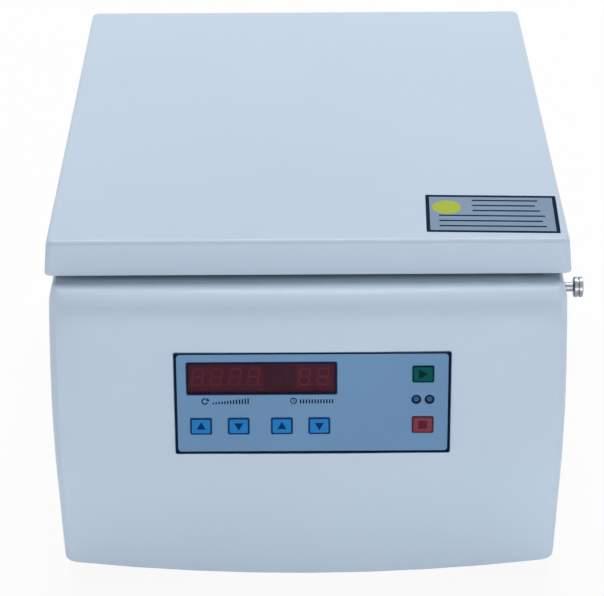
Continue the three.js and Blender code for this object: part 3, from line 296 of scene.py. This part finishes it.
class Finish:
    """A node material whose colour, roughness and bump come from noise in the piece's own coordinates."""

    def __init__(self, name, **fixed):
        self.material = bpy.data.materials.new(name)
        self.material.use_nodes = True
        self.tree = self.material.node_tree
        self.shader = self.tree.nodes["Principled BSDF"]
        for socket, value in fixed.items():
            self.shader.inputs[socket.replace("_", " ")].default_value = value
        self.place = self.tree.nodes.new("ShaderNodeTexCoord").outputs["Object"]

    def node(self, kind, **values):
        made = self.tree.nodes.new(kind)
        for key, value in values.items():
            setattr(made, key, value)
        return made

    def join(self, start, end):
        self.tree.links.new(start, end)

    def mapped(self, scale=(1, 1, 1), origin=(0, 0, 0)):
        made = self.node("ShaderNodeMapping", vector_type="POINT")
        made.inputs["Location"].default_value = [-s * o for s, o in zip(scale, origin)]
        made.inputs["Scale"].default_value = scale
        self.join(self.place, made.inputs["Vector"])
        return made.outputs["Vector"]

    def noise(self, scale, detail=2.0, stretch=(1, 1, 1), vector=None):
        """Noise with about scale patches to a metre, more of them along an axis with a larger stretch."""
        made = self.node("ShaderNodeTexNoise")
        made.inputs["Scale"].default_value = scale
        made.inputs["Detail"].default_value = detail
        self.join(vector or self.mapped(stretch), made.inputs["Vector"])
        return made.outputs["Fac"]

    def span(self, value, low, high, start=0.3, end=0.7):
        """A value from start to end, stretched to run from low to high."""
        made = self.node("ShaderNodeMapRange")
        for key, number in zip(("From Min", "From Max", "To Min", "To Max"), (start, end, low, high)):
            made.inputs[key].default_value = number
        self.join(value, made.inputs["Value"])
        return made.outputs["Result"]

    def tones(self, value, first, second, start=0.3, end=0.7):
        """Two colours, mixed as a value runs from start to end."""
        return self.mixed(self.span(value, 0, 1, start, end), first, second)

    def mixed(self, factor, first, second):
        made = self.node("ShaderNodeMix", data_type="RGBA")
        for key, value in (("A", first), ("B", second)):
            if isinstance(value, tuple):
                made.inputs[key].default_value = (*value, 1)
            else:
                self.join(value, made.inputs[key])
        self.join(factor, made.inputs["Factor"])
        return made.outputs["Result"]

    def maths(self, operation, first, second):
        made = self.node("ShaderNodeMath", operation=operation)
        self.join(first, made.inputs[0])
        if isinstance(second, (int, float)):
            made.inputs[1].default_value = second
        else:
            self.join(second, made.inputs[1])
        return made.outputs["Value"]

    def radial(self, centre):
        """(radius, angle, height) outputs about a vertical axis through a point."""
        parts = self.node("ShaderNodeSeparateXYZ")
        self.join(self.mapped(origin=centre), parts.inputs["Vector"])
        x, y = parts.outputs["X"], parts.outputs["Y"]
        square = self.maths("ADD", self.maths("MULTIPLY", x, x), self.maths("MULTIPLY", y, y))
        return self.maths("POWER", square, 0.5), self.maths("ARCTAN2", y, x), parts.outputs["Z"]

    def vector(self, x, y, z):
        made = self.node("ShaderNodeCombineXYZ")
        for key, value in zip("XYZ", (x, y, z)):
            self.join(value, made.inputs[key])
        return made.outputs["Vector"]

    def bump(self, height, distance, strength=1.0):
        made = self.node("ShaderNodeBump")
        made.inputs["Strength"].default_value = strength
        made.inputs["Distance"].default_value = distance * MM
        self.join(height, made.inputs["Height"])
        self.join(made.outputs["Normal"], self.shader.inputs["Normal"])

    def colour(self, value):
        self.join(value, self.shader.inputs["Base Color"])

    def roughness(self, value):
        self.join(value, self.shader.inputs["Roughness"])


def shade(colour, factor):
    return tuple(c * factor for c in colour)


def moulded(name, colour, rough, grain, depth, spread=0.04, gloss=0.5):
    """Paint, film or plastic: soft mottling in its tone, an uneven gloss and a fine grain."""
    f = Finish(name, Specular_IOR_Level=gloss)
    f.colour(f.tones(f.noise(9, 4), shade(colour, 1 - spread), shade(colour, 1 + spread)))
    f.roughness(f.span(f.noise(60, 3), rough * 0.85, rough * 1.15))
    f.bump(f.noise(grain, 2), depth)
    return f.material


def film(name, colour, rough, depth=0.01, spread=0.1, gloss=0.08):
    """A printed film or its ink, all with one grain."""
    return moulded(name, colour, rough, 2600, depth, spread, gloss)


def brushed(name, colour, rough, stretch, depth=0.004):
    """Sheet metal with fine parallel scratches; stretch gives the grain's scale on each axis."""
    f = Finish(name, Metallic=1.0)
    lines = f.noise(60, 3, stretch)
    f.colour(f.tones(lines, shade(colour, 0.9), shade(colour, 1.06)))
    f.roughness(f.span(lines, rough * 0.8, rough * 1.3))
    f.bump(lines, depth)
    return f.material


def turned(name, colour, rough, rings=2200, depth=0.004):
    """Turned metal: tool rings about the chamber's axis, on faces by radius and on walls by height."""
    f = Finish(name, Metallic=1.0)
    radius, angle, height = f.radial(CHAMBER)
    # A trace of the angle keeps the rings from being perfect circles
    drift = f.maths("MULTIPLY", angle, 0.0004)
    lines = f.noise(rings, 1, vector=f.vector(radius, drift, height))
    f.colour(f.tones(lines, shade(colour, 0.9), shade(colour, 1.05)))
    f.roughness(f.span(f.noise(14, 3), rough * 0.85, rough * 1.25))
    f.bump(lines, depth)
    return f.material


def satin_paint(colour):
    """The casing's paint: a faint broad mottling, a few darker flecks and an even grain."""
    f = Finish("pale_paint", IOR=1.45, Specular_IOR_Level=0.34, Coat_Weight=0.04, Coat_Roughness=0.25)
    base = f.tones(f.noise(5, 4), shade(colour, 0.985), shade(colour, 1.015))
    flecks = f.span(f.noise(260, 3), 0, 0.35, 0.62, 0.8)
    f.colour(f.mixed(flecks, base, shade(colour, 0.93)))
    f.roughness(f.span(f.noise(30, 3), 0.34, 0.46))
    f.bump(f.noise(620, 2), 0.012, strength=0.6)
    return f.material


def tinted_pane():
    f = Finish("red_pane", Roughness=0.12, Specular_IOR_Level=0.06, Alpha=0.38)
    f.colour(f.tones(f.noise(25, 2), (0.056, 0.006, 0.021), (0.066, 0.008, 0.027)))
    f.bump(f.noise(300, 1), 0.003)
    return f.material


def circuit_board():
    """Green solder mask over a net of tracks."""
    f = Finish("solder_mask", Roughness=0.35, Coat_Weight=0.3)
    tracks = f.node("ShaderNodeTexBrick")
    f.join(f.mapped((90, 90, 90)), tracks.inputs["Vector"])
    tracks.inputs["Mortar Size"].default_value = 0.05
    tracks.inputs["Scale"].default_value = 3.0
    f.colour(f.tones(tracks.outputs["Fac"], (0.010, 0.085, 0.035), (0.03, 0.16, 0.07), 0, 1))
    f.bump(tracks.outputs["Fac"], 0.03)
    return f.material


def laminations():
    """The stacked sheets of a transformer's core."""
    f = Finish("laminations", Metallic=0.7)
    leaves = f.node("ShaderNodeTexWave", bands_direction="Y")
    leaves.inputs["Scale"].default_value = 320
    leaves.inputs["Distortion"].default_value = 0.4
    f.join(f.place, leaves.inputs["Vector"])
    f.colour(f.tones(leaves.outputs["Fac"], (0.10, 0.095, 0.085), (0.24, 0.225, 0.2), 0, 1))
    f.roughness(f.span(f.noise(40, 3), 0.4, 0.6))
    f.bump(leaves.outputs["Fac"], 0.04)
    return f.material


paint = satin_paint((0.549, 0.667, 0.799))
powder_coat = moulded("powder_coat", (0.50, 0.59, 0.68), 0.5, grain=900, depth=0.03, spread=0.03)
motor_paint = moulded("motor_paint", (0.04, 0.046, 0.054), 0.45, grain=700, depth=0.03, spread=0.15)

panel_film = film("panel_film", (0.158, 0.302, 0.505), 0.42, depth=0.012, spread=0.05)
blue_key = film("blue_key_film", (0.019, 0.208, 0.53), 0.4, depth=0.012, spread=0.06, gloss=0.05)
green_key = film("green_key_film", (0.003, 0.092, 0.084), 0.4, depth=0.012, spread=0.08, gloss=0.02)
red_key = film("red_key_film", (0.205, 0.042, 0.076), 0.4, depth=0.012, spread=0.08, gloss=0.05)
plate_film = film("plate_film", (0.225, 0.325, 0.455), 0.4, spread=0.05)
navy_ink = film("navy_ink", (0.0015, 0.0095, 0.032), 0.5, depth=0.012, spread=0.12, gloss=0.03)
blue_ink = film("key_outline", (0.002, 0.031, 0.174), 0.42, gloss=0.02)
green_ink = film("green_key_ink", (0.001, 0.026, 0.030), 0.42, gloss=0.02)
red_ink = film("red_key_ink", (0.10, 0.008, 0.02), 0.42)
yellow_ink = film("plate_yellow", (0.42, 0.49, 0.05), 0.42, spread=0.05)
white_ink = film("white_ink", (0.75, 0.77, 0.79), 0.45, spread=0.04)

lamp_lens = moulded("lamp_lens", (0.045, 0.112, 0.217), 0.4, grain=900, depth=0.004, gloss=0.12)
module_face = moulded("module_face", (0.132, 0.018, 0.050), 0.5, grain=1700, depth=0.01, spread=0.15)
module_gap = moulded("display_gap", (0.055, 0.012, 0.028), 0.5, grain=1700, depth=0.01, spread=0.15)
segment_red = moulded("segment_red", (0.44, 0.045, 0.055), 0.5, grain=900, depth=0.004, spread=0.2)
pane = tinted_pane()

black_plastic = moulded("black_plastic", (0.017, 0.019, 0.022), 0.42, grain=1700, depth=0.02, spread=0.15)
rubber = moulded("rubber", (0.022, 0.024, 0.026), 0.75, grain=1100, depth=0.03, spread=0.2)
seal_rubber = moulded("seal_rubber", (0.05, 0.053, 0.056), 0.66, grain=900, depth=0.02, spread=0.15)
board_green = circuit_board()
core_steel = laminations()

sheet_steel = brushed("brushed_sheet", (0.48, 0.50, 0.52), 0.36, (0.4, 22, 22))
strike_steel = brushed("strike_steel", (0.28, 0.29, 0.305), 0.52, (0.4, 22, 22))
liner_steel = brushed("liner_steel", (0.52, 0.54, 0.56), 0.36, (60, 0.6, 60), depth=0.0015)
turned_steel = brushed("turned_steel", (0.31, 0.335, 0.36), 0.30, (26, 2, 2), depth=0.008)
shaft_steel = turned("shaft_steel", (0.45, 0.46, 0.48), 0.25)
rotor_metal = turned("rotor_metal", (0.40, 0.42, 0.445), 0.36, rings=1500, depth=0.006)
bowl_steel = turned("bowl_steel", (0.68, 0.69, 0.71), 0.46, rings=900, depth=0.001)

# CAD solids with their finish

# The plate on the lid lies flush in a pocket
PLATE_WIDTH, PLATE_DEPTH = 89.6, 54.6
POCKET_GAP, POCKET_DEPTH = 0.1, 0.11
pocket_outline = rounded(PLATE_WIDTH + POCKET_GAP, PLATE_DEPTH + POCKET_GAP, 1.0)
pocket = piece("plate_pocket", [prism(pocket_outline, -POCKET_DEPTH, 1.0)], PLATE, paint, "lid")
dress("lid_shell", paint, bevel=0.35, cutter=pocket)
dress("housing_shell", paint, angle=26)

# The finish of each solid, and how far its edges are broken in millimetres
finishes = {
    "lid_liner": (liner_steel, 0.2), "lid_strike": (strike_steel, 0.2), "base_pan": (sheet_steel, 0.2),
    "chamber_bowl": (bowl_steel, 0.0), "chamber_seal": (seal_rubber, 0.5),
    "rotor_head": (rotor_metal, 0.5), "rotor_nut": (shaft_steel, 0.4), "motor_shaft": (shaft_steel, 0.2),
    "panel_overlay": (panel_film, 0.0), "display_window": (pane, 0.0),
    "speed_display": (module_face, 0.0), "time_display": (module_face, 0.0),
    "led_run": (lamp_lens, 0.0), "led_stop": (lamp_lens, 0.0),
    "key_speed_up": (blue_key, 0.15), "key_speed_down": (blue_key, 0.15),
    "key_time_up": (blue_key, 0.15), "key_time_down": (blue_key, 0.15),
    "key_start": (green_key, 0.15), "key_stop": (red_key, 0.15),
    "rear_panel": (powder_coat, 0.2), "power_inlet": (black_plastic, 0.3),
    "fuse_drawer": (black_plastic, 0.3), "switch_bezel": (black_plastic, 0.3),
    "power_rocker": (black_plastic, 0.4), "latch_bolt": (turned_steel, 0.2),
}
for part in ("body_leaf", "lid_leaf"):
    finishes.update({f"hinge_{part}_{i}": (sheet_steel, 0.2) for i in (1, 2)})
finishes.update({f"hinge_pin_{i}": (turned_steel, 0.2) for i in (1, 2)})
finishes.update({f"foot_{i}": (rubber, 0.6) for i in (1, 2, 3, 4)})
for node, (finish, bevel) in finishes.items():
    dress(node, finish, bevel=bevel)

inner_finishes = {
    "display_board": board_green, "drive_board": board_green, "transformer": core_steel,
    "motor_housing": motor_paint, "motor_mount_plate": sheet_steel, "latch_bracket": sheet_steel,
    "lid_switch": black_plastic,
}
inner_finishes.update({f"mount_damper_{i}": rubber for i in (1, 2, 3, 4)})
for node, finish in inner_finishes.items():
    frame["nodes"][node].material_slots[0].material = finish

# Knob

KNOB_Y, KNOB_Z = 16.0, 204.8
KNOB_RADIUS, GROOVE_RADIUS = 7.0, 5.95


def knob_profile(inner, outer):
    """Two discs with a groove between them, from the casing's side to a slightly hollow outer face."""
    middle = (inner + outer) / 2
    return [
        (0, inner), (5.2, inner), (6.6, inner + 0.25), (KNOB_RADIUS, inner + 0.65),
        (KNOB_RADIUS, middle - 0.7), (6.7, middle - 0.45), (GROOVE_RADIUS, middle - 0.25),
        (GROOVE_RADIUS, middle + 0.25), (6.7, middle + 0.45), (KNOB_RADIUS, middle + 0.7),
        (KNOB_RADIUS, outer - 0.7), (6.6, outer - 0.25), (5.6, outer), (4.6, outer - 0.15), (0, outer - 0.35),
    ]


knob_low, knob_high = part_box("latch_knob")
profile = knob_profile(knob_low.x / MM - OFFSET.x, knob_high.x / MM - OFFSET.x)
knob_axis = basis(at(0, KNOB_Y, KNOB_Z), (0, 1, 0), (0, 0, 1))
knob = piece("latch_knob_turned", [lathe(profile)], knob_axis, turned_steel, "lid_bolt",
             smooth=40)
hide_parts("latch_knob")

# Panel print and digits, in millimetres from the overlay's centre

OVERLAY_WIDTH, OVERLAY_HEIGHT = 185.3, 72.9
# The field inside the overlay's border, which is narrower along the top
FIELD_WIDTH, FIELD_HEIGHT, FIELD_RISE = 181.7, 70.0, 0.35
WINDOW_X, WINDOW_Y = -34.0, 18.2
# How far the pane, the digits and what lies between them are below the overlay's face
PANE_DEPTH, DIGIT_DEPTH, BACKING_DEPTH = 0.1, 1.8, 2.12
DIGIT_Y = 18.7
SPEED_DIGITS = (-76.9, -64.4, -51.9, -39.4)
TIME_DIGITS = (-5.4, 7.2)
BAR_GAP, POINT_RADIUS, POINT_APART = 0.5, 0.75, 1.6
KEY_WIDTH, KEY_HEIGHT, KEY_TOP = 14.0, 11.5, 0.45
# How wide the outline is on the arrow keys, and on the keys that start and stop
ARROW_LINE, COMMAND_LINE = 0.8, 0.7
KEY_ROW = -16.2
ARROW_HALF, ARROW_FOOT, ARROW_TIP = 3.1, 2.2, 3.2
COMMAND_X, START_Y, STOP_Y = 74.1, 20.8, -15.8
START_BACK, START_TIP, START_HALF = 2.9, 3.6, 3.3
STOP_SIDE = 5.8
LAMP_Y, LAMP_APART = 2.5, 8.9
RING_OUTSIDE, RING_INSIDE = 3.35, 2.7


def printed(name, solids, finish, body="machine", lift=0.0):
    return piece(name, solids, PANEL @ Matrix.Translation((0, 0, lift)), finish, body)


def window(width, height, radius):
    return rounded(width, height, radius, WINDOW_X, WINDOW_Y)


def segments(cx, cy, width=6.8, height=11.6, thick=1.4, slant=0.12):
    """The seven bars and the point of one digit, each a six-sided bar."""
    h, half = height / 2, width / 2
    out = []

    def bar(x0, y0, x1, y1):
        length = math.hypot(x1 - x0, y1 - y0) - BAR_GAP
        ux, uy = (x1 - x0) / (length + BAR_GAP), (y1 - y0) / (length + BAR_GAP)
        mx, my = (x0 + x1) / 2, (y0 + y1) / 2
        side, end = thick / 2, length / 2
        shape = [(-end, 0), (-end + side, -side), (end - side, -side),
                 (end, 0), (end - side, side), (-end + side, side)]
        points = [(mx + a * ux - b * uy, my + a * uy + b * ux) for a, b in shape]
        out.append(prism([(cx + x + slant * y, cy + y) for x, y in points], 0, INK))

    for y in (-h, 0, h):
        bar(-half, y, half, y)
    for x in (-half, half):
        bar(x, -h, x, 0)
        bar(x, 0, x, h)
    out.append(prism(circle(POINT_RADIUS, cx + half + POINT_APART - slant * h, cy - h, 12), 0, INK))
    return out


def ticks(x, y, count, low, high, step=1.95, width=0.95):
    """A row of upright ticks on one base line, their heights running from low to high."""
    heights = [low + (high - low) * i / (count - 1) for i in range(count)]
    return [prism(rounded(width, h, 0.2, x + step * i, y + h / 2, 2), 0, INK) for i, h in enumerate(heights)]


def hand(x, y, degrees, length, width=0.5):
    dx, dy = math.cos(math.radians(degrees)), math.sin(math.radians(degrees))
    nx, ny = -dy * width / 2, dx * width / 2
    return prism([(x - nx, y - ny), (x + length * dx - nx, y + length * dy - ny),
                  (x + length * dx + nx, y + length * dy + ny), (x + nx, y + ny)], 0, INK)


def key_print(node, x, y, line, sign, ink):
    """The outline and the sign on top of one key, which ride on it."""
    edge = rounded(KEY_WIDTH, KEY_HEIGHT, 1.2, x, y)
    ring = band(edge, rounded(KEY_WIDTH - 2 * line, KEY_HEIGHT - 2 * line, 0.7, x, y), 0, INK)
    printed(node + "_print", [ring, prism(sign, 0, INK)], ink, node, KEY_TOP)


def arrow(x, y, up):
    """A triangle that points up where up is 1, and down where it is -1."""
    foot, tip = y - ARROW_FOOT * up, y + ARROW_TIP * up
    return [(x - ARROW_HALF, foot), (x + ARROW_HALF, foot), (x, tip)][::up]


field = rounded(FIELD_WIDTH, FIELD_HEIGHT, 2.4, 0, FIELD_RISE)
border = band(rounded(OVERLAY_WIDTH, OVERLAY_HEIGHT, 1.1), field, 0, INK)
printed("overlay_border", [border], navy_ink)
outline = band(window(101.4, 23.8, 1.4), window(100.8, 23.2, 1.2), 0, INK)
printed("display_outline", [outline], navy_ink)
mask = band(window(100.0, 22.4, 1.1), window(98.6, 21.0, 0.8), -PANE_DEPTH, -PANE_DEPTH + INK)
printed("display_mask", [mask], navy_ink)
for name, centres in (("speed_digits", SPEED_DIGITS), ("time_digits", TIME_DIGITS)):
    bars = [bar for x in centres for bar in segments(x, DIGIT_Y)]
    printed(name, bars, segment_red, lift=-DIGIT_DEPTH)
backing = prism(window(99.0, 21.4, 0.8), 0, INK)
printed("display_backing", [backing], module_gap, lift=-BACKING_DEPTH)

# A turning arrow with a rising scale stands for speed, a clock with an even scale for time
turn_stroke = arc_band(-72.3, 1.8, radius=1.9, width=0.85, start=math.radians(60), sweep=math.radians(280))
turn_tip = prism([(-71.5, 2.3), (-70.2, 4.4), (-69.0, 2.0)], 0, INK)
speed_ticks = ticks(-66.6, -0.2, 13, low=1.2, high=4.2)
printed("speed_sign", [turn_stroke, turn_tip] + speed_ticks, navy_ink)
CLOCK = (-12.7, 2.0)
clock_rim = band(circle(2.3, *CLOCK), circle(1.6, *CLOCK), 0, INK)
clock_hands = [hand(*CLOCK, degrees=90, length=1.5), hand(*CLOCK, degrees=-20, length=1.2)]
time_ticks = ticks(-8.0, 0.0, 12, low=3.0, high=3.0)
printed("time_sign", [clock_rim] + clock_hands + time_ticks, navy_ink)

for node, x, up in (("key_speed_up", -75.1, 1), ("key_speed_down", -49.8, -1), ("key_time_up", -20.7, 1),
                    ("key_time_down", 4.5, -1)):
    key_print(node, x, KEY_ROW, ARROW_LINE, arrow(x, KEY_ROW, up), blue_ink)
start_sign = [(COMMAND_X - START_BACK, START_Y - START_HALF), (COMMAND_X + START_TIP, START_Y),
              (COMMAND_X - START_BACK, START_Y + START_HALF)]
key_print("key_start", COMMAND_X, START_Y, COMMAND_LINE, start_sign, green_ink)
stop_sign = rounded(STOP_SIDE, STOP_SIDE, 0.3, COMMAND_X, STOP_Y, 2)
key_print("key_stop", COMMAND_X, STOP_Y, COMMAND_LINE, stop_sign, red_ink)
lamps = (COMMAND_X - LAMP_APART / 2, COMMAND_X + LAMP_APART / 2)
rings = [band(circle(RING_OUTSIDE, x, LAMP_Y), circle(RING_INSIDE, x, LAMP_Y), 0, INK) for x in lamps]
printed("lamp_rings", rings, navy_ink)

# Plate on the lid, with a plain dot and ruled lines

# Heights from the lid's top
PLATE_UNDERSIDE, PLATE_FACE, PLATE_PRINT = -0.1, -0.04, -0.01
SIDE_BORDER, END_BORDER = 2.6, 2.9
DOT_RADIUS, DOT_X, DOT_Y = 10.0, -30.5, 9.0
RULE_HEIGHT = 1.9
# Where each line begins and ends, and how far it lies behind the plate's middle
RULES = ((-13, 32, 19.5), (-13, 30, 12), (-13, 33, 4.5), (-36, 36, -3), (-36, 34, -10.5), (-36, 36, -18))

plate_edge = rounded(PLATE_WIDTH, PLATE_DEPTH, 0.9)
plate_field = rounded(PLATE_WIDTH - 2 * SIDE_BORDER, PLATE_DEPTH - 2 * END_BORDER, 0.5)
plate_dot = circle(DOT_RADIUS, DOT_X, DOT_Y, 48)
rules = [prism(rounded(right - left, RULE_HEIGHT, 0.3, (left + right) / 2, y, 2), PLATE_FACE, PLATE_PRINT)
         for left, right, y in RULES]
for name, solids, finish in (
        ("lid_plate", [prism(plate_edge, PLATE_UNDERSIDE, PLATE_FACE)], plate_film),
        ("lid_plate_border", [band(plate_edge, plate_field, PLATE_FACE, 0.0)], navy_ink),
        ("lid_plate_dot", [prism(plate_dot, PLATE_FACE, PLATE_PRINT)], yellow_ink),
        ("lid_plate_rules", rules, navy_ink)):
    piece(name, solids, PLATE, finish, "lid")

# Fasteners

REARWARD = ((-1, 0, 0), (0, 0, 1))
DOWNWARD = ((1, 0, 0), (0, -1, 0))
REAR_PANEL_FACE, HINGE_FACE, LINER_FACE = 401.8, 402.3, 232.0
HINGE_X, HINGE_SCREW_APART = 115, 34
BODY_LEAF_SCREW_Z, LID_LEAF_SCREW_Z = 208.5, 238.5


def screws(name, places, facing, radius, head, body):
    for i, spot in enumerate(places):
        place = basis(spot, *facing)
        piece(f"{name}_{i + 1}", [button_screw(radius, head)], place, turned_steel, body,
              smooth=35)


panel_screws = [(x, z) for z in (32, 188) for x in (-153, 0, 153)] + [(-153, 110), (153, 110)]
panel_spots = [at(x, REAR_PANEL_FACE, z) for x, z in panel_screws]
screws("rear_panel_screw", panel_spots, REARWARD, radius=2.6, head=1.5, body="machine")
for side, x in (("left", -HINGE_X), ("right", HINGE_X)):
    pair = (x - HINGE_SCREW_APART / 2, x + HINGE_SCREW_APART / 2)
    for leaf, z, body in (("body", BODY_LEAF_SCREW_Z, "machine"), ("lid", LID_LEAF_SCREW_Z, "lid")):
        hinge_spots = [at(u, HINGE_FACE, z) for u in pair]
        screws(f"hinge_screw_{leaf}_{side}", hinge_spots, REARWARD, radius=2.3, head=1.2, body=body)
liner_spots = [at(x, y, LINER_FACE) for x in (-150, 150) for y in (30, 200, 376)]
screws("liner_screw", liner_spots, DOWNWARD, radius=2.8, head=0.9, body="lid")

# Numbers on the rotor, signs on the switch

ROTOR_PLACES = 6
NUMBER_SIZE, NUMBER_RADIUS, NUMBER_HEIGHT = 9.0, 92.5, 190.02
for i in range(ROTOR_PLACES):
    a = 2 * math.pi * i / ROTOR_PLACES
    out = Vector((math.cos(a), math.sin(a), 0))
    spot = CHAMBER + out * NUMBER_RADIUS * MM + Vector((0, 0, NUMBER_HEIGHT * MM))
    place = basis(spot, (-math.sin(a), math.cos(a), 0), -out)
    lettering(f"rotor_number_{i + 1}", str(i + 1), NUMBER_SIZE, place, navy_ink, "rotor")

# The rocker's two faces meet at its middle, and lean from its plane by as much as it is turned at rest
SWITCH_X, SWITCH_FACE, SWITCH_Z = -58, 399.1, 62
ROCKER_TURN, ROCKER_RISE, ROCKER_HALF = math.radians(8), 3.3, 11.2
on_sign = prism(rounded(1.2, 5.0, 0.3, 0, 0, 2), 0, INK)
off_sign = band(circle(2.7), circle(1.7), 0, INK)
for name, side, sign in (("rocker_on", 1, on_sign), ("rocker_off", -1, off_sign)):
    v = side * ROCKER_HALF / 2
    y = ROCKER_RISE + abs(v) * math.tan(ROCKER_TURN)
    spot = at(SWITCH_X, SWITCH_FACE + y * math.cos(ROCKER_TURN) + v * math.sin(ROCKER_TURN),
              SWITCH_Z - y * math.sin(ROCKER_TURN) + v * math.cos(ROCKER_TURN))
    lean = ROCKER_TURN * (1 + side)
    place = basis(spot, (-1, 0, 0), (0, math.sin(lean), math.cos(lean)))
    piece(name, [sign], place, white_ink, "power_rocker")

# Room, light and camera, in metres

# The share of glow in the floor that the camera sees, and how far out it begins and ends to rise
FLOOR_GLOW, GLOW_START, GLOW_END = 0.92, 1.0, 2.4
FLOOR_HALF = 6
IMAGE_WIDTH, FOCAL_PIXELS, SENSOR = 604, 2180.7, 36.0


def shown_rays(tree):
    """1 for the rays that show a surface to the camera, straight, mirrored or through glass."""
    path = tree.nodes.new("ShaderNodeLightPath")
    value = path.outputs["Is Camera Ray"]
    for kind in ("Is Glossy Ray", "Is Transmission Ray"):
        either = tree.nodes.new("ShaderNodeMath")
        either.operation = "MAXIMUM"
        tree.links.new(value, either.inputs[0])
        tree.links.new(path.outputs[kind], either.inputs[1])
        value = either.outputs["Value"]
    return value


def mix_shown(tree, factor, lit, shown, output):
    """Shows one shader and lights the object with the other."""
    mix = tree.nodes.new("ShaderNodeMixShader")
    tree.links.new(factor, mix.inputs["Fac"])
    tree.links.new(lit, mix.inputs[1])
    tree.links.new(shown, mix.inputs[2])
    tree.links.new(mix.outputs["Shader"], tree.nodes[output].inputs["Surface"])


def add_floor():
    finish = Finish("floor", Roughness=0.8, Specular_IOR_Level=0.1)
    finish.colour(finish.tones(finish.noise(2, 2), (0.90, 0.90, 0.90), (0.92, 0.92, 0.92)))
    tree = finish.tree
    glow = tree.nodes.new("ShaderNodeEmission")
    # The share of glow rises to 1 away from the object, where the lamps light the floor unevenly
    share = finish.span(finish.radial((0, 0, 0))[0], FLOOR_GLOW, 1.0, GLOW_START, GLOW_END)
    factor = finish.maths("MULTIPLY", shown_rays(tree), share)
    mix_shown(tree, factor, finish.shader.outputs["BSDF"], glow.outputs["Emission"], "Material Output")
    mesh = bpy.data.meshes.new("floor")
    bm = bmesh.new()
    corners = ((-1, -1), (1, -1), (1, 1), (-1, 1))
    bm.faces.new([bm.verts.new((x * FLOOR_HALF, y * FLOOR_HALF, 0)) for x, y in corners])
    bm.to_mesh(mesh)
    bm.free()
    floor = bpy.data.objects.new("floor", mesh)
    scene.collection.objects.link(floor)
    mesh.materials.append(finish.material)


def add_world(strength):
    """A white backdrop that lights the object with a faint, slightly cool light."""
    world = bpy.data.worlds.new("studio")
    world.use_nodes = True
    scene.world = world
    tree = world.node_tree
    shown, lit = tree.nodes["Background"], tree.nodes.new("ShaderNodeBackground")
    shown.inputs["Color"].default_value = (1, 1, 1, 1)
    shown.inputs["Strength"].default_value = 1.0
    lit.inputs["Color"].default_value = (0.97, 0.985, 1, 1)
    lit.inputs["Strength"].default_value = strength
    mix_shown(tree, shown_rays(tree), lit.outputs["Background"], shown.outputs["Background"], "World Output")


def add_area(name, spot, target, size, power):
    """A white rectangular lamp that points at a target, and that the camera doesn't see."""
    light = bpy.data.lights.new(name, "AREA")
    light.shape, light.size, light.size_y = "RECTANGLE", size[0], size[1]
    light.energy = power
    holder = bpy.data.objects.new(name, light)
    holder.location = spot
    holder.rotation_euler = (Vector(target) - Vector(spot)).to_track_quat("-Z", "Y").to_euler()
    holder.visible_camera = False
    scene.collection.objects.link(holder)


def add_camera(spot, pitch, yaw, roll):
    """The photograph's viewpoint; pitch looks down, yaw turns right and roll leans left, in degrees."""
    data = bpy.data.cameras.new("camera")
    data.sensor_width, data.lens = SENSOR, SENSOR * FOCAL_PIXELS / IMAGE_WIDTH
    camera = bpy.data.objects.new("camera", data)
    pitch, yaw, roll = math.radians(pitch), math.radians(yaw), math.radians(roll)
    forward = Vector((math.sin(yaw) * math.cos(pitch), math.cos(yaw) * math.cos(pitch), -math.sin(pitch)))
    right = Vector((math.cos(yaw), -math.sin(yaw), 0))
    up = right.cross(forward)
    tilted = right * math.cos(roll) + up * math.sin(roll)
    risen = -right * math.sin(roll) + up * math.cos(roll)
    turn = Matrix((tilted, risen, -forward)).transposed().to_4x4()
    camera.matrix_world = Matrix.Translation(spot) @ turn
    scene.collection.objects.link(camera)
    scene.camera = camera


add_floor()
add_world(strength=0.19)
add_area("overhead", (0.1, 2.1, 4.78), target=(0.0, -0.05, 0.2), size=(4.2, 1.8), power=217)
add_area("front_fill", (0.1, -2.6, 0.28), target=(0.0, 0.0, 0.12), size=(2.4, 0.5), power=24.5)
add_area("left_fill", (-2.4, -0.4, 0.45), target=(0.0, -0.1, 0.17), size=(0.8, 0.8), power=4)
add_area("right_fill", (2.4, -0.5, 0.45), target=(0.0, -0.1, 0.17), size=(0.8, 0.8), power=7)
add_camera(at(-4.46, -1277.32, 936.11), pitch=29.739, yaw=0.017, roll=-0.308)
scene.view_settings.view_transform = "Standard"
